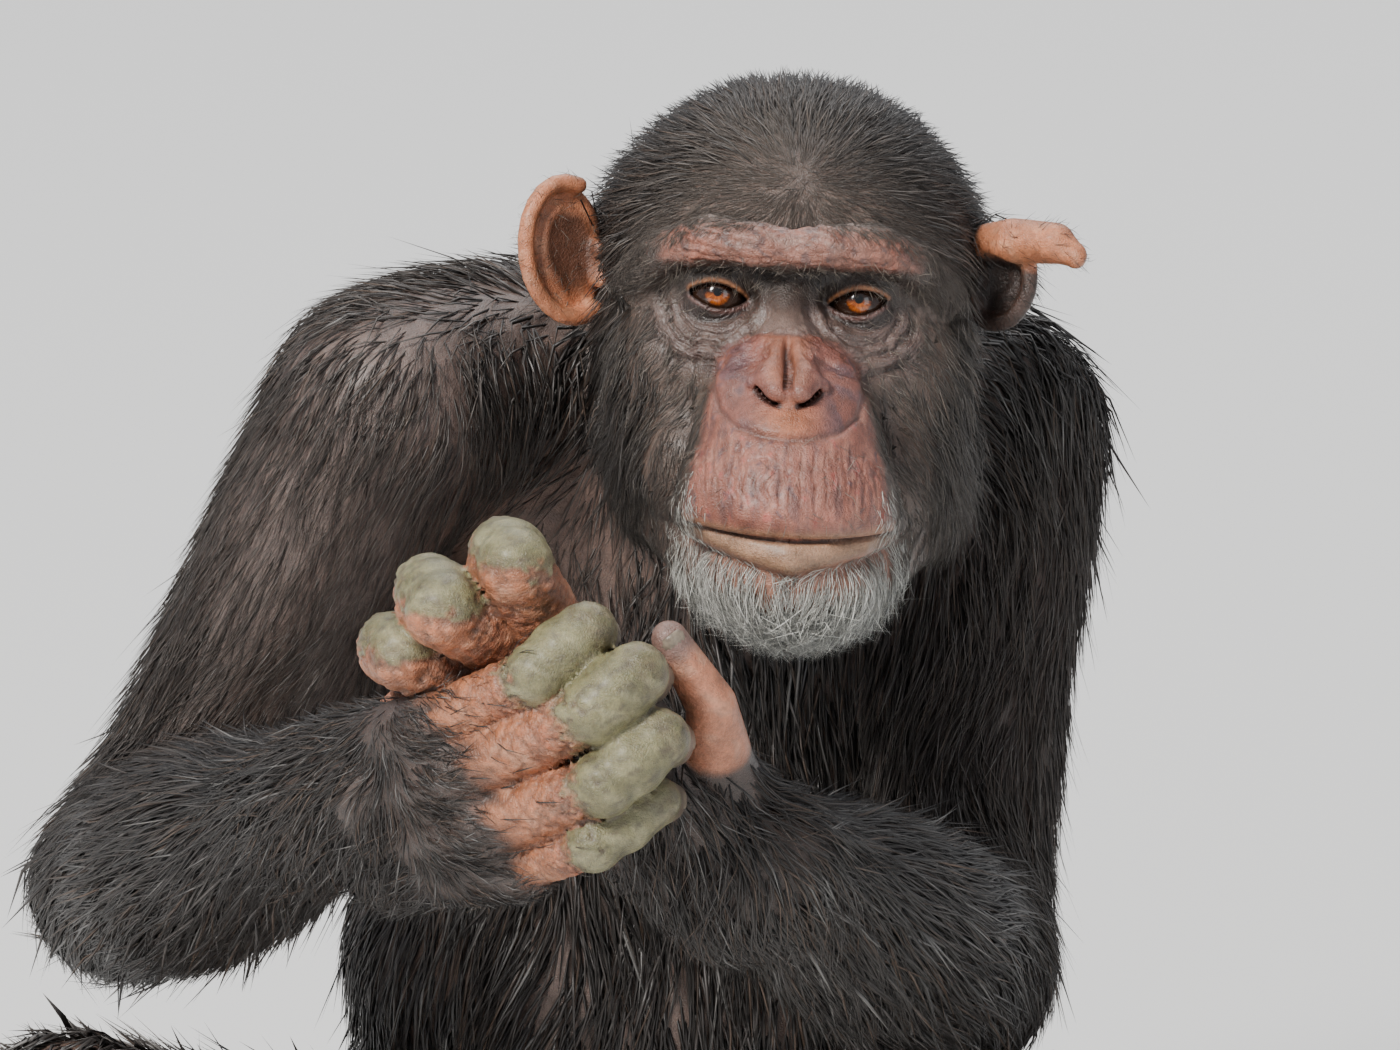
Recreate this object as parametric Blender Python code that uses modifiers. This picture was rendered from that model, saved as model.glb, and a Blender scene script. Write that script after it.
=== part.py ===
"""A life-size still model of a seated adult chimpanzee, clasping its hands before its chest.

Metres, +Z up. The animal faces -Y, so its right side is at -X. The origin is on the floor under
the rump. Each part of the body that has a name is one closed solid, and a gap of 0.3 mm parts it
from its neighbours.
"""

import math
import random

import bmesh
import bpy
import numpy as np
from mathutils import Matrix, Vector
from mathutils.bvhtree import BVHTree

# Gaps, coat and finish of the solids
GAP = 0.0003
COAT_CORE = 0.006
SEED = 7

# The head looks 15 degrees up and leans 3 degrees; its sizes below are in millimetres from the
# point midway between the eyes: x to the animal's left, y back into the head, z up
EYES = Vector((0.065, -0.24, 0.66))
HEAD_PITCH = math.radians(-15)
HEAD_LEAN = math.radians(3)
EYE_SPACING = 59
EYE_RADIUS = 12.2
EYE_DEPTH = 12.5

# Joints of the limbs, at their centres
SHOULDER = {"right": Vector((-0.106, -0.130, 0.583)), "left": Vector((0.153, 0.000, 0.536))}
ELBOW = {"right": Vector((-0.224, -0.100, 0.359)), "left": Vector((0.138, -0.150, 0.337))}
WRIST = {"right": Vector((-0.123, -0.310, 0.465)), "left": Vector((0.052, -0.350, 0.452))}
HIP = {"right": Vector((-0.072, 0.015, 0.118)), "left": Vector((0.078, 0.000, 0.118))}
KNEE = {"right": Vector((-0.245, -0.180, 0.262)), "left": Vector((0.230, -0.220, 0.240))}
ANKLE = {"right": Vector((-0.200, -0.290, 0.070)), "left": Vector((0.190, -0.320, 0.070))}
TOES = {"right": Vector((-0.238, -0.440, 0.0)), "left": Vector((0.222, -0.472, 0.0))}

# Radii of the limbs under the coat
DELTOID, UPPER_ARM, ELBOW_RADIUS = 0.050, 0.040, 0.037
FOREARM, WRIST_RADIUS = 0.045, 0.028
THIGH, KNEE_RADIUS, SHANK, ANKLE_RADIUS = 0.072, 0.046, 0.041, 0.027

# Fingers of each hand: knuckle, second joint, third joint, tip, and the radius of the finger
FINGERS = {
    "right": (
        ((-0.077, -0.385, 0.521), (-0.038, -0.415, 0.548),
         (-0.015, -0.408, 0.572), (-0.006, -0.385, 0.568), 0.0130),
        ((-0.067, -0.395, 0.504), (-0.020, -0.426, 0.537),
         (0.006, -0.420, 0.559), (0.016, -0.396, 0.553), 0.0138),
        ((-0.055, -0.400, 0.484), (-0.016, -0.431, 0.508),
         (0.017, -0.424, 0.530), (0.026, -0.400, 0.527), 0.0133),
        ((-0.043, -0.395, 0.466), (-0.015, -0.427, 0.482),
         (0.015, -0.416, 0.503), (0.023, -0.394, 0.503), 0.0112),
    ),
    "left": (
        ((-0.004, -0.352, 0.545), (-0.046, -0.392, 0.592),
         (-0.056, -0.366, 0.602), (-0.050, -0.348, 0.590), 0.0150),
        ((-0.014, -0.350, 0.525), (-0.077, -0.392, 0.574),
         (-0.088, -0.365, 0.580), (-0.080, -0.349, 0.568), 0.0155),
        ((-0.022, -0.348, 0.503), (-0.093, -0.378, 0.551),
         (-0.100, -0.354, 0.553), (-0.093, -0.342, 0.543), 0.0140),
        ((-0.024, -0.345, 0.482), (-0.080, -0.352, 0.524),
         (-0.089, -0.334, 0.522), (-0.082, -0.324, 0.512), 0.0110),
    ),
}
# Thumbs: base, middle and tip, and their radii
THUMB = {
    "right": ((-0.108, -0.330, 0.490), (-0.086, -0.328, 0.515), (-0.070, -0.322, 0.532),
              (0.0140, 0.0105, 0.0085)),
    "left": ((0.037, -0.368, 0.500), (0.034, -0.386, 0.530), (0.017, -0.392, 0.560),
              (0.0145, 0.0105, 0.0075)),
}
PALM_RADIUS = 0.0165


def clear_scene():
    for old in list(bpy.data.objects):
        bpy.data.objects.remove(old, do_unlink=True)


def material(name, colour, roughness):
    """A plain Principled finish of one colour."""
    made = bpy.data.materials.new(name)
    made.use_nodes = True
    shader = made.node_tree.nodes["Principled BSDF"]
    shader.inputs["Base Color"].default_value = (*colour, 1.0)
    shader.inputs["Roughness"].default_value = roughness
    shader.inputs["Metallic"].default_value = 0.0
    return made


def collection(name):
    made = bpy.data.collections.new(name)
    bpy.context.scene.collection.children.link(made)
    return made


def mesh_object(name, bm, where):
    """Turns a bmesh into an object in the collection where."""
    mesh = bpy.data.meshes.new(name)
    bm.to_mesh(mesh)
    bm.free()
    made = bpy.data.objects.new(name, mesh)
    where.objects.link(made)
    return made


def head_point(x, y, z):
    """A place on the head, in millimetres from between the eyes, as a place in the model."""
    local = Vector((x, y, z)) * 0.001
    return EYES + head_turn() @ local


def head_turn():
    return Matrix.Rotation(HEAD_PITCH, 3, "X") @ Matrix.Rotation(HEAD_LEAN, 3, "Y")


def unit_ball():
    """A ball of radius 1 that add_ball copies."""
    bm = bmesh.new()
    bmesh.ops.create_uvsphere(bm, u_segments=24, v_segments=16, radius=1.0)
    mesh = bpy.data.meshes.new("unit_ball")
    bm.to_mesh(mesh)
    bm.free()
    return mesh


def add_ball(bm, centre, radii, turn=Matrix.Identity(3)):
    """Adds an ellipsoid with its own half-axes, turned by a 3 by 3 matrix."""
    ball = UNIT_BALL.copy()
    ball.transform(Matrix.Translation(centre) @ turn.to_4x4() @ Matrix.Diagonal((*radii, 1.0)))
    bm.from_mesh(ball)
    bpy.data.meshes.remove(ball)


def add_limb(bm, points, radii):
    """Adds a chain of tapered lengths with a ball at each point."""
    points = [Vector(p) for p in points]
    for point, radius in zip(points, radii):
        add_ball(bm, point, (radius, radius, radius))
    for start, end, first, last in zip(points, points[1:], radii, radii[1:]):
        along = end - start
        place = Matrix.Translation((start + end) / 2) @ along.to_track_quat("Z", "Y").to_matrix().to_4x4()
        bmesh.ops.create_cone(
            bm, cap_ends=True, segments=24, radius1=first, radius2=last, depth=along.length, matrix=place
        )


def settled(obj):
    """Bakes the modifiers of obj into its mesh."""
    graph = bpy.context.evaluated_depsgraph_get()
    mesh = bpy.data.meshes.new_from_object(obj.evaluated_get(graph))
    obj.modifiers.clear()
    obj.data = mesh
    return obj


def thinned(obj, triangles):
    """Collapses edges until the mesh has about that many triangles."""
    bm = bmesh.new()
    bm.from_mesh(obj.data)
    bmesh.ops.triangulate(bm, faces=bm.faces)
    bm.to_mesh(obj.data)
    count = len(bm.faces)
    bm.free()
    if count > triangles:
        decimate = obj.modifiers.new("Decimate", "DECIMATE")
        decimate.ratio = triangles / count
        settled(obj)
    return obj


def fused(name, bm, where, voxel, rounds, triangles):
    """Fuses the shapes in bm into one soft closed body: a voxel remesh, smoothing, then fewer faces."""
    obj = mesh_object(name, bm, where)
    remesh = obj.modifiers.new("Remesh", "REMESH")
    remesh.mode = "VOXEL"
    remesh.voxel_size = voxel
    if rounds:
        smooth = obj.modifiers.new("Smooth", "SMOOTH")
        smooth.factor = 0.5
        smooth.iterations = rounds
    settled(obj)
    return largest(thinned(obj, triangles))


def largest(obj):
    """Keeps only the closed surface of obj that encloses the most."""
    bm = bmesh.new()
    bm.from_mesh(obj.data)
    bmesh.ops.remove_doubles(bm, verts=bm.verts, dist=1e-6)
    left = set(bm.faces)
    shells = []
    while left:
        shell, waiting = set(), [left.pop()]
        while waiting:
            face = waiting.pop()
            shell.add(face)
            for edge in face.edges:
                for other in edge.link_faces:
                    if other in left:
                        left.discard(other)
                        waiting.append(other)
        shells.append(shell)
    shells.sort(key=lambda shell: -shell_volume(shell))
    for shell in shells[1:]:
        bmesh.ops.delete(bm, geom=list(shell), context="FACES")
    bm.to_mesh(obj.data)
    bm.free()
    return obj


def shell_volume(faces):
    total = 0.0
    for face in faces:
        corners = [loop.vert.co for loop in face.loops]
        for second, third in zip(corners[1:], corners[2:]):
            total += corners[0].dot(second.cross(third)) / 6
    return total


def grown(obj, distance):
    """A copy of obj, pushed out along its normals, for cutting its neighbours clear of it."""
    copy = bpy.data.objects.new(obj.name + "_cutter", obj.data.copy())
    CUTTERS.objects.link(copy)
    copy.display_type = "WIRE"
    copy.hide_render = True
    count = len(copy.data.vertices) * 3
    places, normals = np.empty(count, np.float32), np.empty(count, np.float32)
    copy.data.vertices.foreach_get("co", places)
    copy.data.vertices.foreach_get("normal", normals)
    copy.data.vertices.foreach_set("co", places + normals * distance)
    return copy


def combined(obj, operation, other=None, group=None, solver="EXACT"):
    """Applies one Boolean to obj and keeps its largest body."""
    boolean = obj.modifiers.new("Boolean", "BOOLEAN")
    boolean.operation = operation
    boolean.solver = solver
    if group is None:
        boolean.object = other
    else:
        boolean.operand_type = "COLLECTION"
        boolean.collection = group
    return largest(settled(obj))


def cleared(obj, *neighbours):
    """Cuts obj back from each neighbour, so that the gap is left between them."""
    for neighbour in neighbours:
        cutter = grown(neighbour, GAP)
        combined(obj, "DIFFERENCE", cutter)
        bpy.data.objects.remove(cutter)
    return obj


def kept_side(obj, point, normal):
    """Keeps what lies behind a plane and closes the cut with a flat face."""
    bm = bmesh.new()
    bm.from_mesh(obj.data)
    geometry = list(bm.verts) + list(bm.edges) + list(bm.faces)
    bmesh.ops.bisect_plane(
        bm, geom=geometry, dist=1e-6, plane_co=point, plane_no=normal, clear_outer=True
    )
    rim = [edge for edge in bm.edges if edge.is_boundary]
    bmesh.ops.triangle_fill(bm, edges=rim, use_beauty=True)
    bmesh.ops.recalc_face_normals(bm, faces=bm.faces)
    bm.to_mesh(obj.data)
    bm.free()
    return largest(obj)


def parted(obj, name, point, along):
    """Parts obj at a plane across it: obj keeps the near side, and a new object of that name the far side."""
    along = along.normalized()
    far = bpy.data.objects.new(name, obj.data.copy())
    obj.users_collection[0].objects.link(far)
    kept_side(far, point + along * GAP / 2, -along)
    kept_side(obj, point - along * GAP / 2, along)
    return far


clear_scene()
BODY = collection("chimpanzee")
CUTTERS = collection("cutters")
UNIT_BALL = unit_ball()

HAIR_BROWN = material("coat", (0.020, 0.018, 0.018), 0.55)
FACE_SKIN = material("face_skin", (0.250, 0.110, 0.085), 0.50)
EAR_SKIN = material("ear_skin", (0.420, 0.180, 0.110), 0.55)
HAND_SKIN = material("hand_skin", (0.360, 0.170, 0.110), 0.60)
EYE_GLOSS = material("eye", (0.060, 0.020, 0.008), 0.08)


# The head: masses of the skull and flesh as centre and half-axes, and whether the coat covers them
HEAD_MASSES = (
    ((0, 90, 22), (77, 86, 70), True),
    ((0, 44, 12), (70, 48, 46), True),
    ((0, 38, -30), (66, 47, 60), False),
    ((-52, 42, -30), (23, 32, 36), True),
    ((52, 42, -30), (23, 32, 36), True),
    ((-44, 38, -70), (22, 42, 34), True),
    ((44, 38, -70), (22, 42, 34), True),
    ((0, -10, -40), (31, 40, 30), False),
    ((0, -20, -62), (40, 46, 36), False),
    ((0, -34, -78), (45, 40, 24), False),
    ((0, -38, -42), (19, 19, 17), False),
    ((-11, -48, -41), (10, 8, 9), False),
    ((11, -48, -41), (10, 8, 9), False),
    ((0, -32, -114), (36, 31, 20), False),
    ((0, 22, -96), (42, 50, 26), True),
)
BROW = ((-66, 26, 5), (-52, 6, 18), (-34, -9, 24), (-14, -14, 20.5), (0, -12, 17),
        (14, -14, 20.5), (34, -9, 24), (52, 6, 18), (66, 26, 5))
BROW_RADII = (9, 11, 11.5, 11, 10, 11, 11.5, 11, 9)
NOSE_BRIDGE = ((0, 0, 6), (0, -10, -8), (0, -26, -22), (0, -42, -34))
NOSE_RADII = (8, 8, 8.5, 9)
LOWER_LIP = ((-40, -30, -99), (-30, -51, -104), (-15, -62, -107), (0, -65, -108),
             (15, -62, -107), (30, -51, -104), (40, -30, -99))
LIP_RADII = (7, 8.5, 9, 9, 9, 8.5, 7)
JAW = ((0, -24, -110), (26, 8, -110), (50, 58, -88), (60, 82, -50))
JAW_RADII = (19, 19, 20, 18)
MOUTH_LINE = ((-52, -14, -91), (-45, -38, -94), (-30, -64, -96), (-12, -77, -97.5), (0, -80, -98),
              (12, -77, -97.5), (30, -64, -96), (45, -38, -94), (52, -14, -91))
MOUTH_GROOVE = (13, 1.2)
# Half the width and half the height of the opening between the lids, and how thick the lids are
EYE_OPENING = (12.0, 5.6)
LID = 3.0


def head_ball(bm, centre, radii, turn=Matrix.Identity(3)):
    add_ball(bm, head_point(*centre), [r * 0.001 for r in radii], head_turn() @ turn)


def head_limb(bm, points, radii):
    add_limb(bm, [head_point(*p) for p in points], [r * 0.001 for r in radii])


def mirrored(points):
    return tuple((-x, y, z) for x, y, z in points)


def smooth_line(points, steps):
    """Catmull-Rom curve through the points."""
    points = [Vector(p) for p in points]
    ends = [2 * points[0] - points[1]] + points + [2 * points[-1] - points[-2]]
    line = []
    for a, b, c, d in zip(ends, ends[1:], ends[2:], ends[3:]):
        for step in range(steps):
            t = step / steps
            square, cube = 2 * a - 5 * b + 4 * c - d, 3 * b - a - 3 * c + d
            line.append(0.5 * (2 * b + (c - a) * t + square * t * t + cube * t ** 3))
    return line + [points[-1]]


def mouth_cutter():
    """A thin curved blade that follows the line of the mouth round the muzzle."""
    depth, half = MOUTH_GROOVE
    bm = bmesh.new()
    rows = []
    for point in smooth_line(MOUTH_LINE, 3):
        inward = Vector((-point.x, 60 - point.y, 0)).normalized()
        outer = point - inward * depth
        inner = point + inward * depth
        rows.append(
            [
                bm.verts.new(head_point(*(outer + Vector((0, 0, half * 2))))),
                bm.verts.new(head_point(*(outer - Vector((0, 0, half * 2))))),
                bm.verts.new(head_point(*(inner - Vector((0, 0, half * 0.3))))),
                bm.verts.new(head_point(*(inner + Vector((0, 0, half * 0.3))))),
            ]
        )
    for row, after in zip(rows, rows[1:]):
        for side in range(4):
            near, far = side, (side + 1) % 4
            bm.faces.new((row[near], row[far], after[far], after[near]))
    bm.faces.new(reversed(rows[0]))
    bm.faces.new(rows[-1])
    bmesh.ops.recalc_face_normals(bm, faces=bm.faces)
    return mesh_object("mouth_cutter", bm, CUTTERS)


def eye_centre(side):
    return head_point(side * EYE_SPACING / 2, EYE_DEPTH, 0)


def eye_ball(name, side, radius, where):
    """A ball at the eye's place, its poles facing forward and back."""
    bm = bmesh.new()
    facing = head_turn().to_4x4() @ Matrix.Rotation(math.pi / 2, 4, "X")
    place = Matrix.Translation(eye_centre(side)) @ facing
    bmesh.ops.create_uvsphere(bm, u_segments=12, v_segments=8, radius=radius * 0.001, matrix=place)
    return mesh_object(name, bm, where)


def make_head():
    """The head as one body: skull, brow, muzzle, lips and jaw, with lids, nostrils and the mouth line."""
    bm = bmesh.new()
    coat = COAT_CORE * 1000
    for centre, radii, furred in HEAD_MASSES:
        head_ball(bm, centre, [r + coat * furred for r in radii])
    head_limb(bm, BROW, BROW_RADII)
    head_limb(bm, NOSE_BRIDGE, NOSE_RADII)
    head_limb(bm, LOWER_LIP, LIP_RADII)
    for line in (JAW, mirrored(JAW)):
        head_limb(bm, line, JAW_RADII)
    head = fused("head", bm, BODY, 0.0030, 7, 9000)
    for side in (-1, 1):
        cut_ball(head, (side * 31, 0, 0), (19, 15, 12), 300)
    thinned(head, 1150)
    for side in (-1, 1):
        eye = (side * EYE_SPACING / 2, EYE_DEPTH, 0)
        lids = bmesh.new()
        head_ball(lids, eye, (EYE_RADIUS + LID,) * 3)
        lid_ball = thinned(mesh_object("lids", lids, CUTTERS), 160)
        combined(head, "UNION", lid_ball)
        bpy.data.objects.remove(lid_ball)
        wide, high = EYE_OPENING
        cut_ball(head, (eye[0], EYE_DEPTH - EYE_RADIUS, 0), (wide, EYE_RADIUS, high), 80)
        room = eye_ball("eye_room", side, EYE_RADIUS + GAP * 1200, CUTTERS)
        combined(head, "DIFFERENCE", room)
        bpy.data.objects.remove(room)
        slant = Matrix.Rotation(math.radians(side * 30), 3, "Y")
        cut_ball(head, (side * 9.5, -55, -44), (6.5, 9, 2.4), 70, slant)
    mouth = mouth_cutter()
    combined(head, "DIFFERENCE", mouth)
    bpy.data.objects.remove(mouth)
    return head


def cut_ball(obj, centre, radii, triangles, turn=Matrix.Identity(3)):
    """Cuts an ellipsoid out of a piece of the head."""
    bm = bmesh.new()
    head_ball(bm, centre, radii, turn)
    cutter = thinned(mesh_object("cut", bm, CUTTERS), triangles)
    combined(obj, "DIFFERENCE", cutter)
    bpy.data.objects.remove(cutter)


# Ears: a cup with a rolled rim; the left one is folded forward at the top, like a shelf.
# Half-width, half-height and the height of the middle above the root
EAR_ROOT = {"right": (-79, 74, 18), "left": (79, 74, 18)}
EAR_CUP = {"right": (21, 29, 3), "left": (17, 21, -4)}
EAR_THICKNESS, EAR_RIM = 4.6, 4.0
EAR_SHELF = ((0, -2, 12), (18, -6, 17), (38, -6, 21), (49, -5, 18))
SHELF_RADII = (7.5, 9, 8, 5)
EAR_FLARE, EAR_TILT = 32, 12


def make_ear(name, which):
    side = -1 if which == "right" else 1
    turn = Matrix.Rotation(math.radians(-side * EAR_FLARE), 3, "Z")
    flare = turn @ Matrix.Rotation(math.radians(side * EAR_TILT), 3, "Y")
    root = Vector(EAR_ROOT[which])
    wide, high, middle = EAR_CUP[which]

    def at(x, y, z):
        return root + flare @ Vector((side * x, y, z))

    bm = bmesh.new()
    head_ball(bm, at(wide * 0.85, 4, middle), (wide, EAR_THICKNESS, high), flare)
    rim = []
    for step in range(15):
        swing = math.radians(-115 + 230 * step / 14)
        z = middle + math.sin(swing) * high
        rim.append(at(wide * 0.85 + math.cos(swing) * wide, -1, z))
    head_limb(bm, rim, [EAR_RIM] * len(rim))
    if which == "left":
        head_limb(bm, [at(*point) for point in EAR_SHELF], SHELF_RADII)
    head_limb(bm, (at(4, -2, -2), at(5, -3, -12)), (EAR_RIM, EAR_RIM))
    ear = fused(name, bm, BODY, 0.0016, 3, 2600)
    cut_ball(ear, at(wide * 0.8, -6, middle), (wide * 0.66, 8, high * 0.66), 200, flare)
    return thinned(ear, 260)


# The trunk from the rump up: centre, half-width, half-depth and half-height, and its turn in degrees
TRUNK = (
    (0.000, 0.024, 0.090, 0.124, 0.110, 0.094, 8),
    (0.004, 0.022, 0.190, 0.138, 0.126, 0.100, 10),
    (0.010, 0.022, 0.290, 0.143, 0.130, 0.100, 14),
    (0.020, 0.018, 0.385, 0.143, 0.122, 0.100, 19),
    (0.028, 0.006, 0.460, 0.138, 0.108, 0.090, 23),
    (0.030, -0.010, 0.522, 0.134, 0.096, 0.080, 26),
)
SHOULDER_BLADES = {"right": (0.000, 0.040, 0.470), "left": (0.062, 0.035, 0.460)}
YOKE = 0.058
NECK_BASE = Vector((0.036, -0.020, 0.545))
NECK_TOP = (0, 88, -16)
NECK_RADII = (0.080, 0.072, 0.062)


def make_trunk():
    """Rump, belly, ribs and shoulders as one body."""
    bm = bmesh.new()
    coat = COAT_CORE
    for (x, y, z, wide, deep, high, turn), after in zip(TRUNK, TRUNK[1:] + TRUNK[-1:]):
        for step in (0.0, 0.5):
            mix = [a + (b - a) * step for a, b in zip((x, y, z, wide, deep, high, turn), after)]
            radii = [r + coat for r in mix[3:6]]
            add_ball(bm, Vector(mix[:3]), radii, Matrix.Rotation(math.radians(mix[6]), 3, "Z"))
    middle = Vector((0.022, -0.005, 0.562))
    for which, blade in SHOULDER_BLADES.items():
        inner = SHOULDER[which].lerp(middle, 0.22) + Vector((0, 0.010, 0))
        add_limb(bm, (inner, middle), (YOKE * 0.92 + coat, YOKE + coat))
        add_limb(bm, (inner, blade), (YOKE * 0.92 + coat, YOKE + coat))
    return fused("torso", bm, BODY, 0.0065, 12, 520)


def make_neck():
    """The short thick neck, from between the shoulders to the back of the skull, with a flat at each end."""
    bm = bmesh.new()
    top = head_point(*NECK_TOP)
    along = top - NECK_BASE
    beyond = along.normalized() * 0.03
    line = (NECK_BASE - beyond, NECK_BASE.lerp(top, 0.5), top + beyond)
    add_limb(bm, line, [r + COAT_CORE for r in NECK_RADII])
    neck = fused("neck", bm, BODY, 0.0060, 4, 240)
    kept_side(neck, NECK_BASE, -along)
    return kept_side(neck, top, along)


def make_arm(which):
    """Upper arm, forearm and the back of the wrist as one body."""
    shoulder, elbow, wrist = SHOULDER[which], ELBOW[which], WRIST[which]
    coat = COAT_CORE
    bm = bmesh.new()
    middle = shoulder.lerp(elbow, 0.5)
    add_limb(
        bm,
        (shoulder, shoulder.lerp(elbow, 0.25), middle, shoulder.lerp(elbow, 0.78), elbow),
        [r + coat for r in (DELTOID, DELTOID * 0.94, UPPER_ARM, UPPER_ARM * 0.90, ELBOW_RADIUS)],
    )
    add_limb(
        bm,
        (elbow, elbow.lerp(wrist, 0.3), elbow.lerp(wrist, 0.6), wrist),
        [r + coat for r in (ELBOW_RADIUS, FOREARM, FOREARM * 0.86, WRIST_RADIUS)],
    )
    return fused("upper_arm_" + which, bm, BODY, 0.0060, 5, 360)


def make_hand(which):
    """Palm, four bent fingers and a thumb as one body."""
    wrist = WRIST[which]
    bm = bmesh.new()
    for knuckle, second, third, tip, radius in FINGERS[which]:
        knuckle, second, third, tip = (Vector(p) for p in (knuckle, second, third, tip))
        spread = wrist.lerp(knuckle, 0.12) + (knuckle - Vector(FINGERS[which][1][0])) * 0.6
        add_limb(bm, (spread, knuckle), (PALM_RADIUS * 1.1, PALM_RADIUS * 0.92))
        add_limb(bm, (knuckle, second, third, tip), (radius * 1.05, radius * 0.96, radius, radius * 0.80))
        add_ball(bm, second.lerp(third, 0.5), (radius * 1.1,) * 3)
    base, middle, tip, radii = THUMB[which]
    add_limb(bm, (wrist.lerp(Vector(base), 0.5), Vector(base), Vector(middle), Vector(tip)), (0.016, *radii))
    add_limb(bm, (wrist, wrist.lerp(Vector(FINGERS[which][1][0]), 0.4)), (WRIST_RADIUS, WRIST_RADIUS * 0.9))
    return fused("hand_" + which, bm, BODY, 0.0024, 2, 760)


def make_leg(which):
    """Thigh and shank as one body."""
    hip, knee, ankle = HIP[which], KNEE[which], ANKLE[which]
    coat = COAT_CORE
    bm = bmesh.new()
    add_limb(
        bm,
        (hip, hip.lerp(knee, 0.35), hip.lerp(knee, 0.75), knee),
        [r + coat for r in (THIGH, THIGH * 0.98, THIGH * 0.74, KNEE_RADIUS)],
    )
    add_limb(
        bm,
        (knee, knee.lerp(ankle, 0.35), knee.lerp(ankle, 0.7), ankle),
        [r + coat for r in (KNEE_RADIUS, SHANK, SHANK * 0.82, ANKLE_RADIUS)],
    )
    return fused("thigh_" + which, bm, BODY, 0.0065, 5, 280)


def make_foot(which):
    """A long sole with four curled toes and a great toe that stands away like a thumb."""
    ankle, toes = ANKLE[which], TOES[which]
    forward = Vector((toes.x - ankle.x, toes.y - ankle.y, 0)).normalized()
    aside = Vector((-forward.y, forward.x, 0))
    if which == "left":
        aside = -aside
    ground = Vector((ankle.x, ankle.y, 0))

    def at(ahead, sideways, up):
        return ground + forward * ahead + aside * sideways + Vector((0, 0, up))

    bm = bmesh.new()
    sole = (at(-0.030, 0, 0.021), at(0.035, 0.004, 0.026), at(0.100, -0.002, 0.020))
    add_limb(bm, sole, (0.024, 0.028, 0.021))
    add_limb(bm, (ankle, at(0.006, 0, 0.036)), (ANKLE_RADIUS, 0.030))
    for toe in range(4):
        sideways = 0.022 - 0.0165 * toe
        reach = (0.150, 0.158, 0.152, 0.138)[toe]
        radius = (0.0112, 0.0110, 0.0105, 0.0096)[toe]
        root = at(0.085 - 0.004 * toe, sideways * 0.9, 0.019)
        bend = at(reach, sideways * 1.25, 0.024)
        end = at(reach + 0.026, sideways * 1.3, 0.0095)
        add_limb(bm, (root, bend, end), (radius * 1.3, radius, radius * 0.86))
    add_limb(
        bm,
        (at(0.010, 0.010, 0.022), at(0.055, 0.040, 0.018), at(0.098, 0.054, 0.0135)),
        (0.021, 0.0150, 0.0115),
    )
    foot = fused("foot_" + which, bm, BODY, 0.0030, 3, 350)
    return kept_side(foot, Vector((0, 0, 0.0)), Vector((0, 0, -1)))


def shaded(obj, finish):
    obj.data.materials.clear()
    obj.data.materials.append(finish)
    obj.data.shade_smooth()
    obj.data.set_sharp_from_angle(angle=math.radians(50))


# Locks of the coat: length, width, thickness, and how far the tip stands out from the core, in metres
WHISKER = (0.040, 0.019, 0.0022, 0.012)
BEARD_LOCK = (0.017, 0.0022, 0.002)
CROWN_LOCK = (0.046, 0.028, 0.0024, 0.010)
NAPE_LOCK = (0.070, 0.034, 0.0030, 0.012)
BACK_LOCK = (0.100, 0.054, 0.0040, 0.014)
ARM_LOCK = (0.078, 0.036, 0.0030, 0.014)
FOREARM_LOCK = (0.065, 0.032, 0.0028, 0.012)
LEG_LOCK = (0.076, 0.040, 0.0030, 0.011)
# Along a lock: how far along a station lies, how wide it is, and its share of the height
STATIONS = ((0.0, 0.80, 0.0), (0.38, 1.0, 0.45), (0.76, 0.62, 0.85))
ROOT_SINK = 0.0045
CHANCE = random.Random(SEED)


def lock_shape(tree, root, lie, sizes, facing):
    """A flat tapered lock: three-sided stations over the surface of tree from the root along lie, and a tip.

    A lock with a facing of its own hangs free from its root. Gives the lock's corners and its triangles.
    """
    length, width, thick, lift = sizes
    corners = []
    place, normal = tree.find_nearest(root)[:2]
    for share, wide, rise in STATIONS + ((1.0, 0.0, 1.0),):
        spot = place + lie * length * share
        if facing is None:
            spot, normal = tree.find_nearest(spot)[:2]
        else:
            normal = facing
        height = lift * rise - (ROOT_SINK if share == 0 else 0)
        middle = spot + normal * height
        if wide == 0:
            corners.append(middle)
            break
        across = normal.cross(lie).normalized() * width * wide / 2
        corners += [middle - across, middle + normal * thick, middle + across]
    faces = [(2, 1, 0)]
    for ring in range(len(STATIONS) - 1):
        for side in range(3):
            a, b = ring * 3 + side, ring * 3 + (side + 1) % 3
            faces += [(a, b, b + 3), (a, b + 3, a + 3)]
    last, tip = len(STATIONS) * 3 - 3, len(corners) - 1
    faces += [(last + side, last + (side + 1) % 3, tip) for side in range(3)]
    return corners, faces


def surface(obj, clearance=0.0):
    """A search tree over obj, pushed out by the clearance."""
    mesh = obj.data
    mesh.calc_loop_triangles()
    corners = [v.co + v.normal * clearance for v in mesh.vertices]
    return BVHTree.FromPolygons(corners, [tuple(t.vertices) for t in mesh.loop_triangles])


def is_closed(obj):
    """Whether every edge of obj has exactly two faces."""
    bm = bmesh.new()
    bm.from_mesh(obj.data)
    closed = all(len(edge.link_faces) == 2 for edge in bm.edges)
    bm.free()
    return closed


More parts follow.
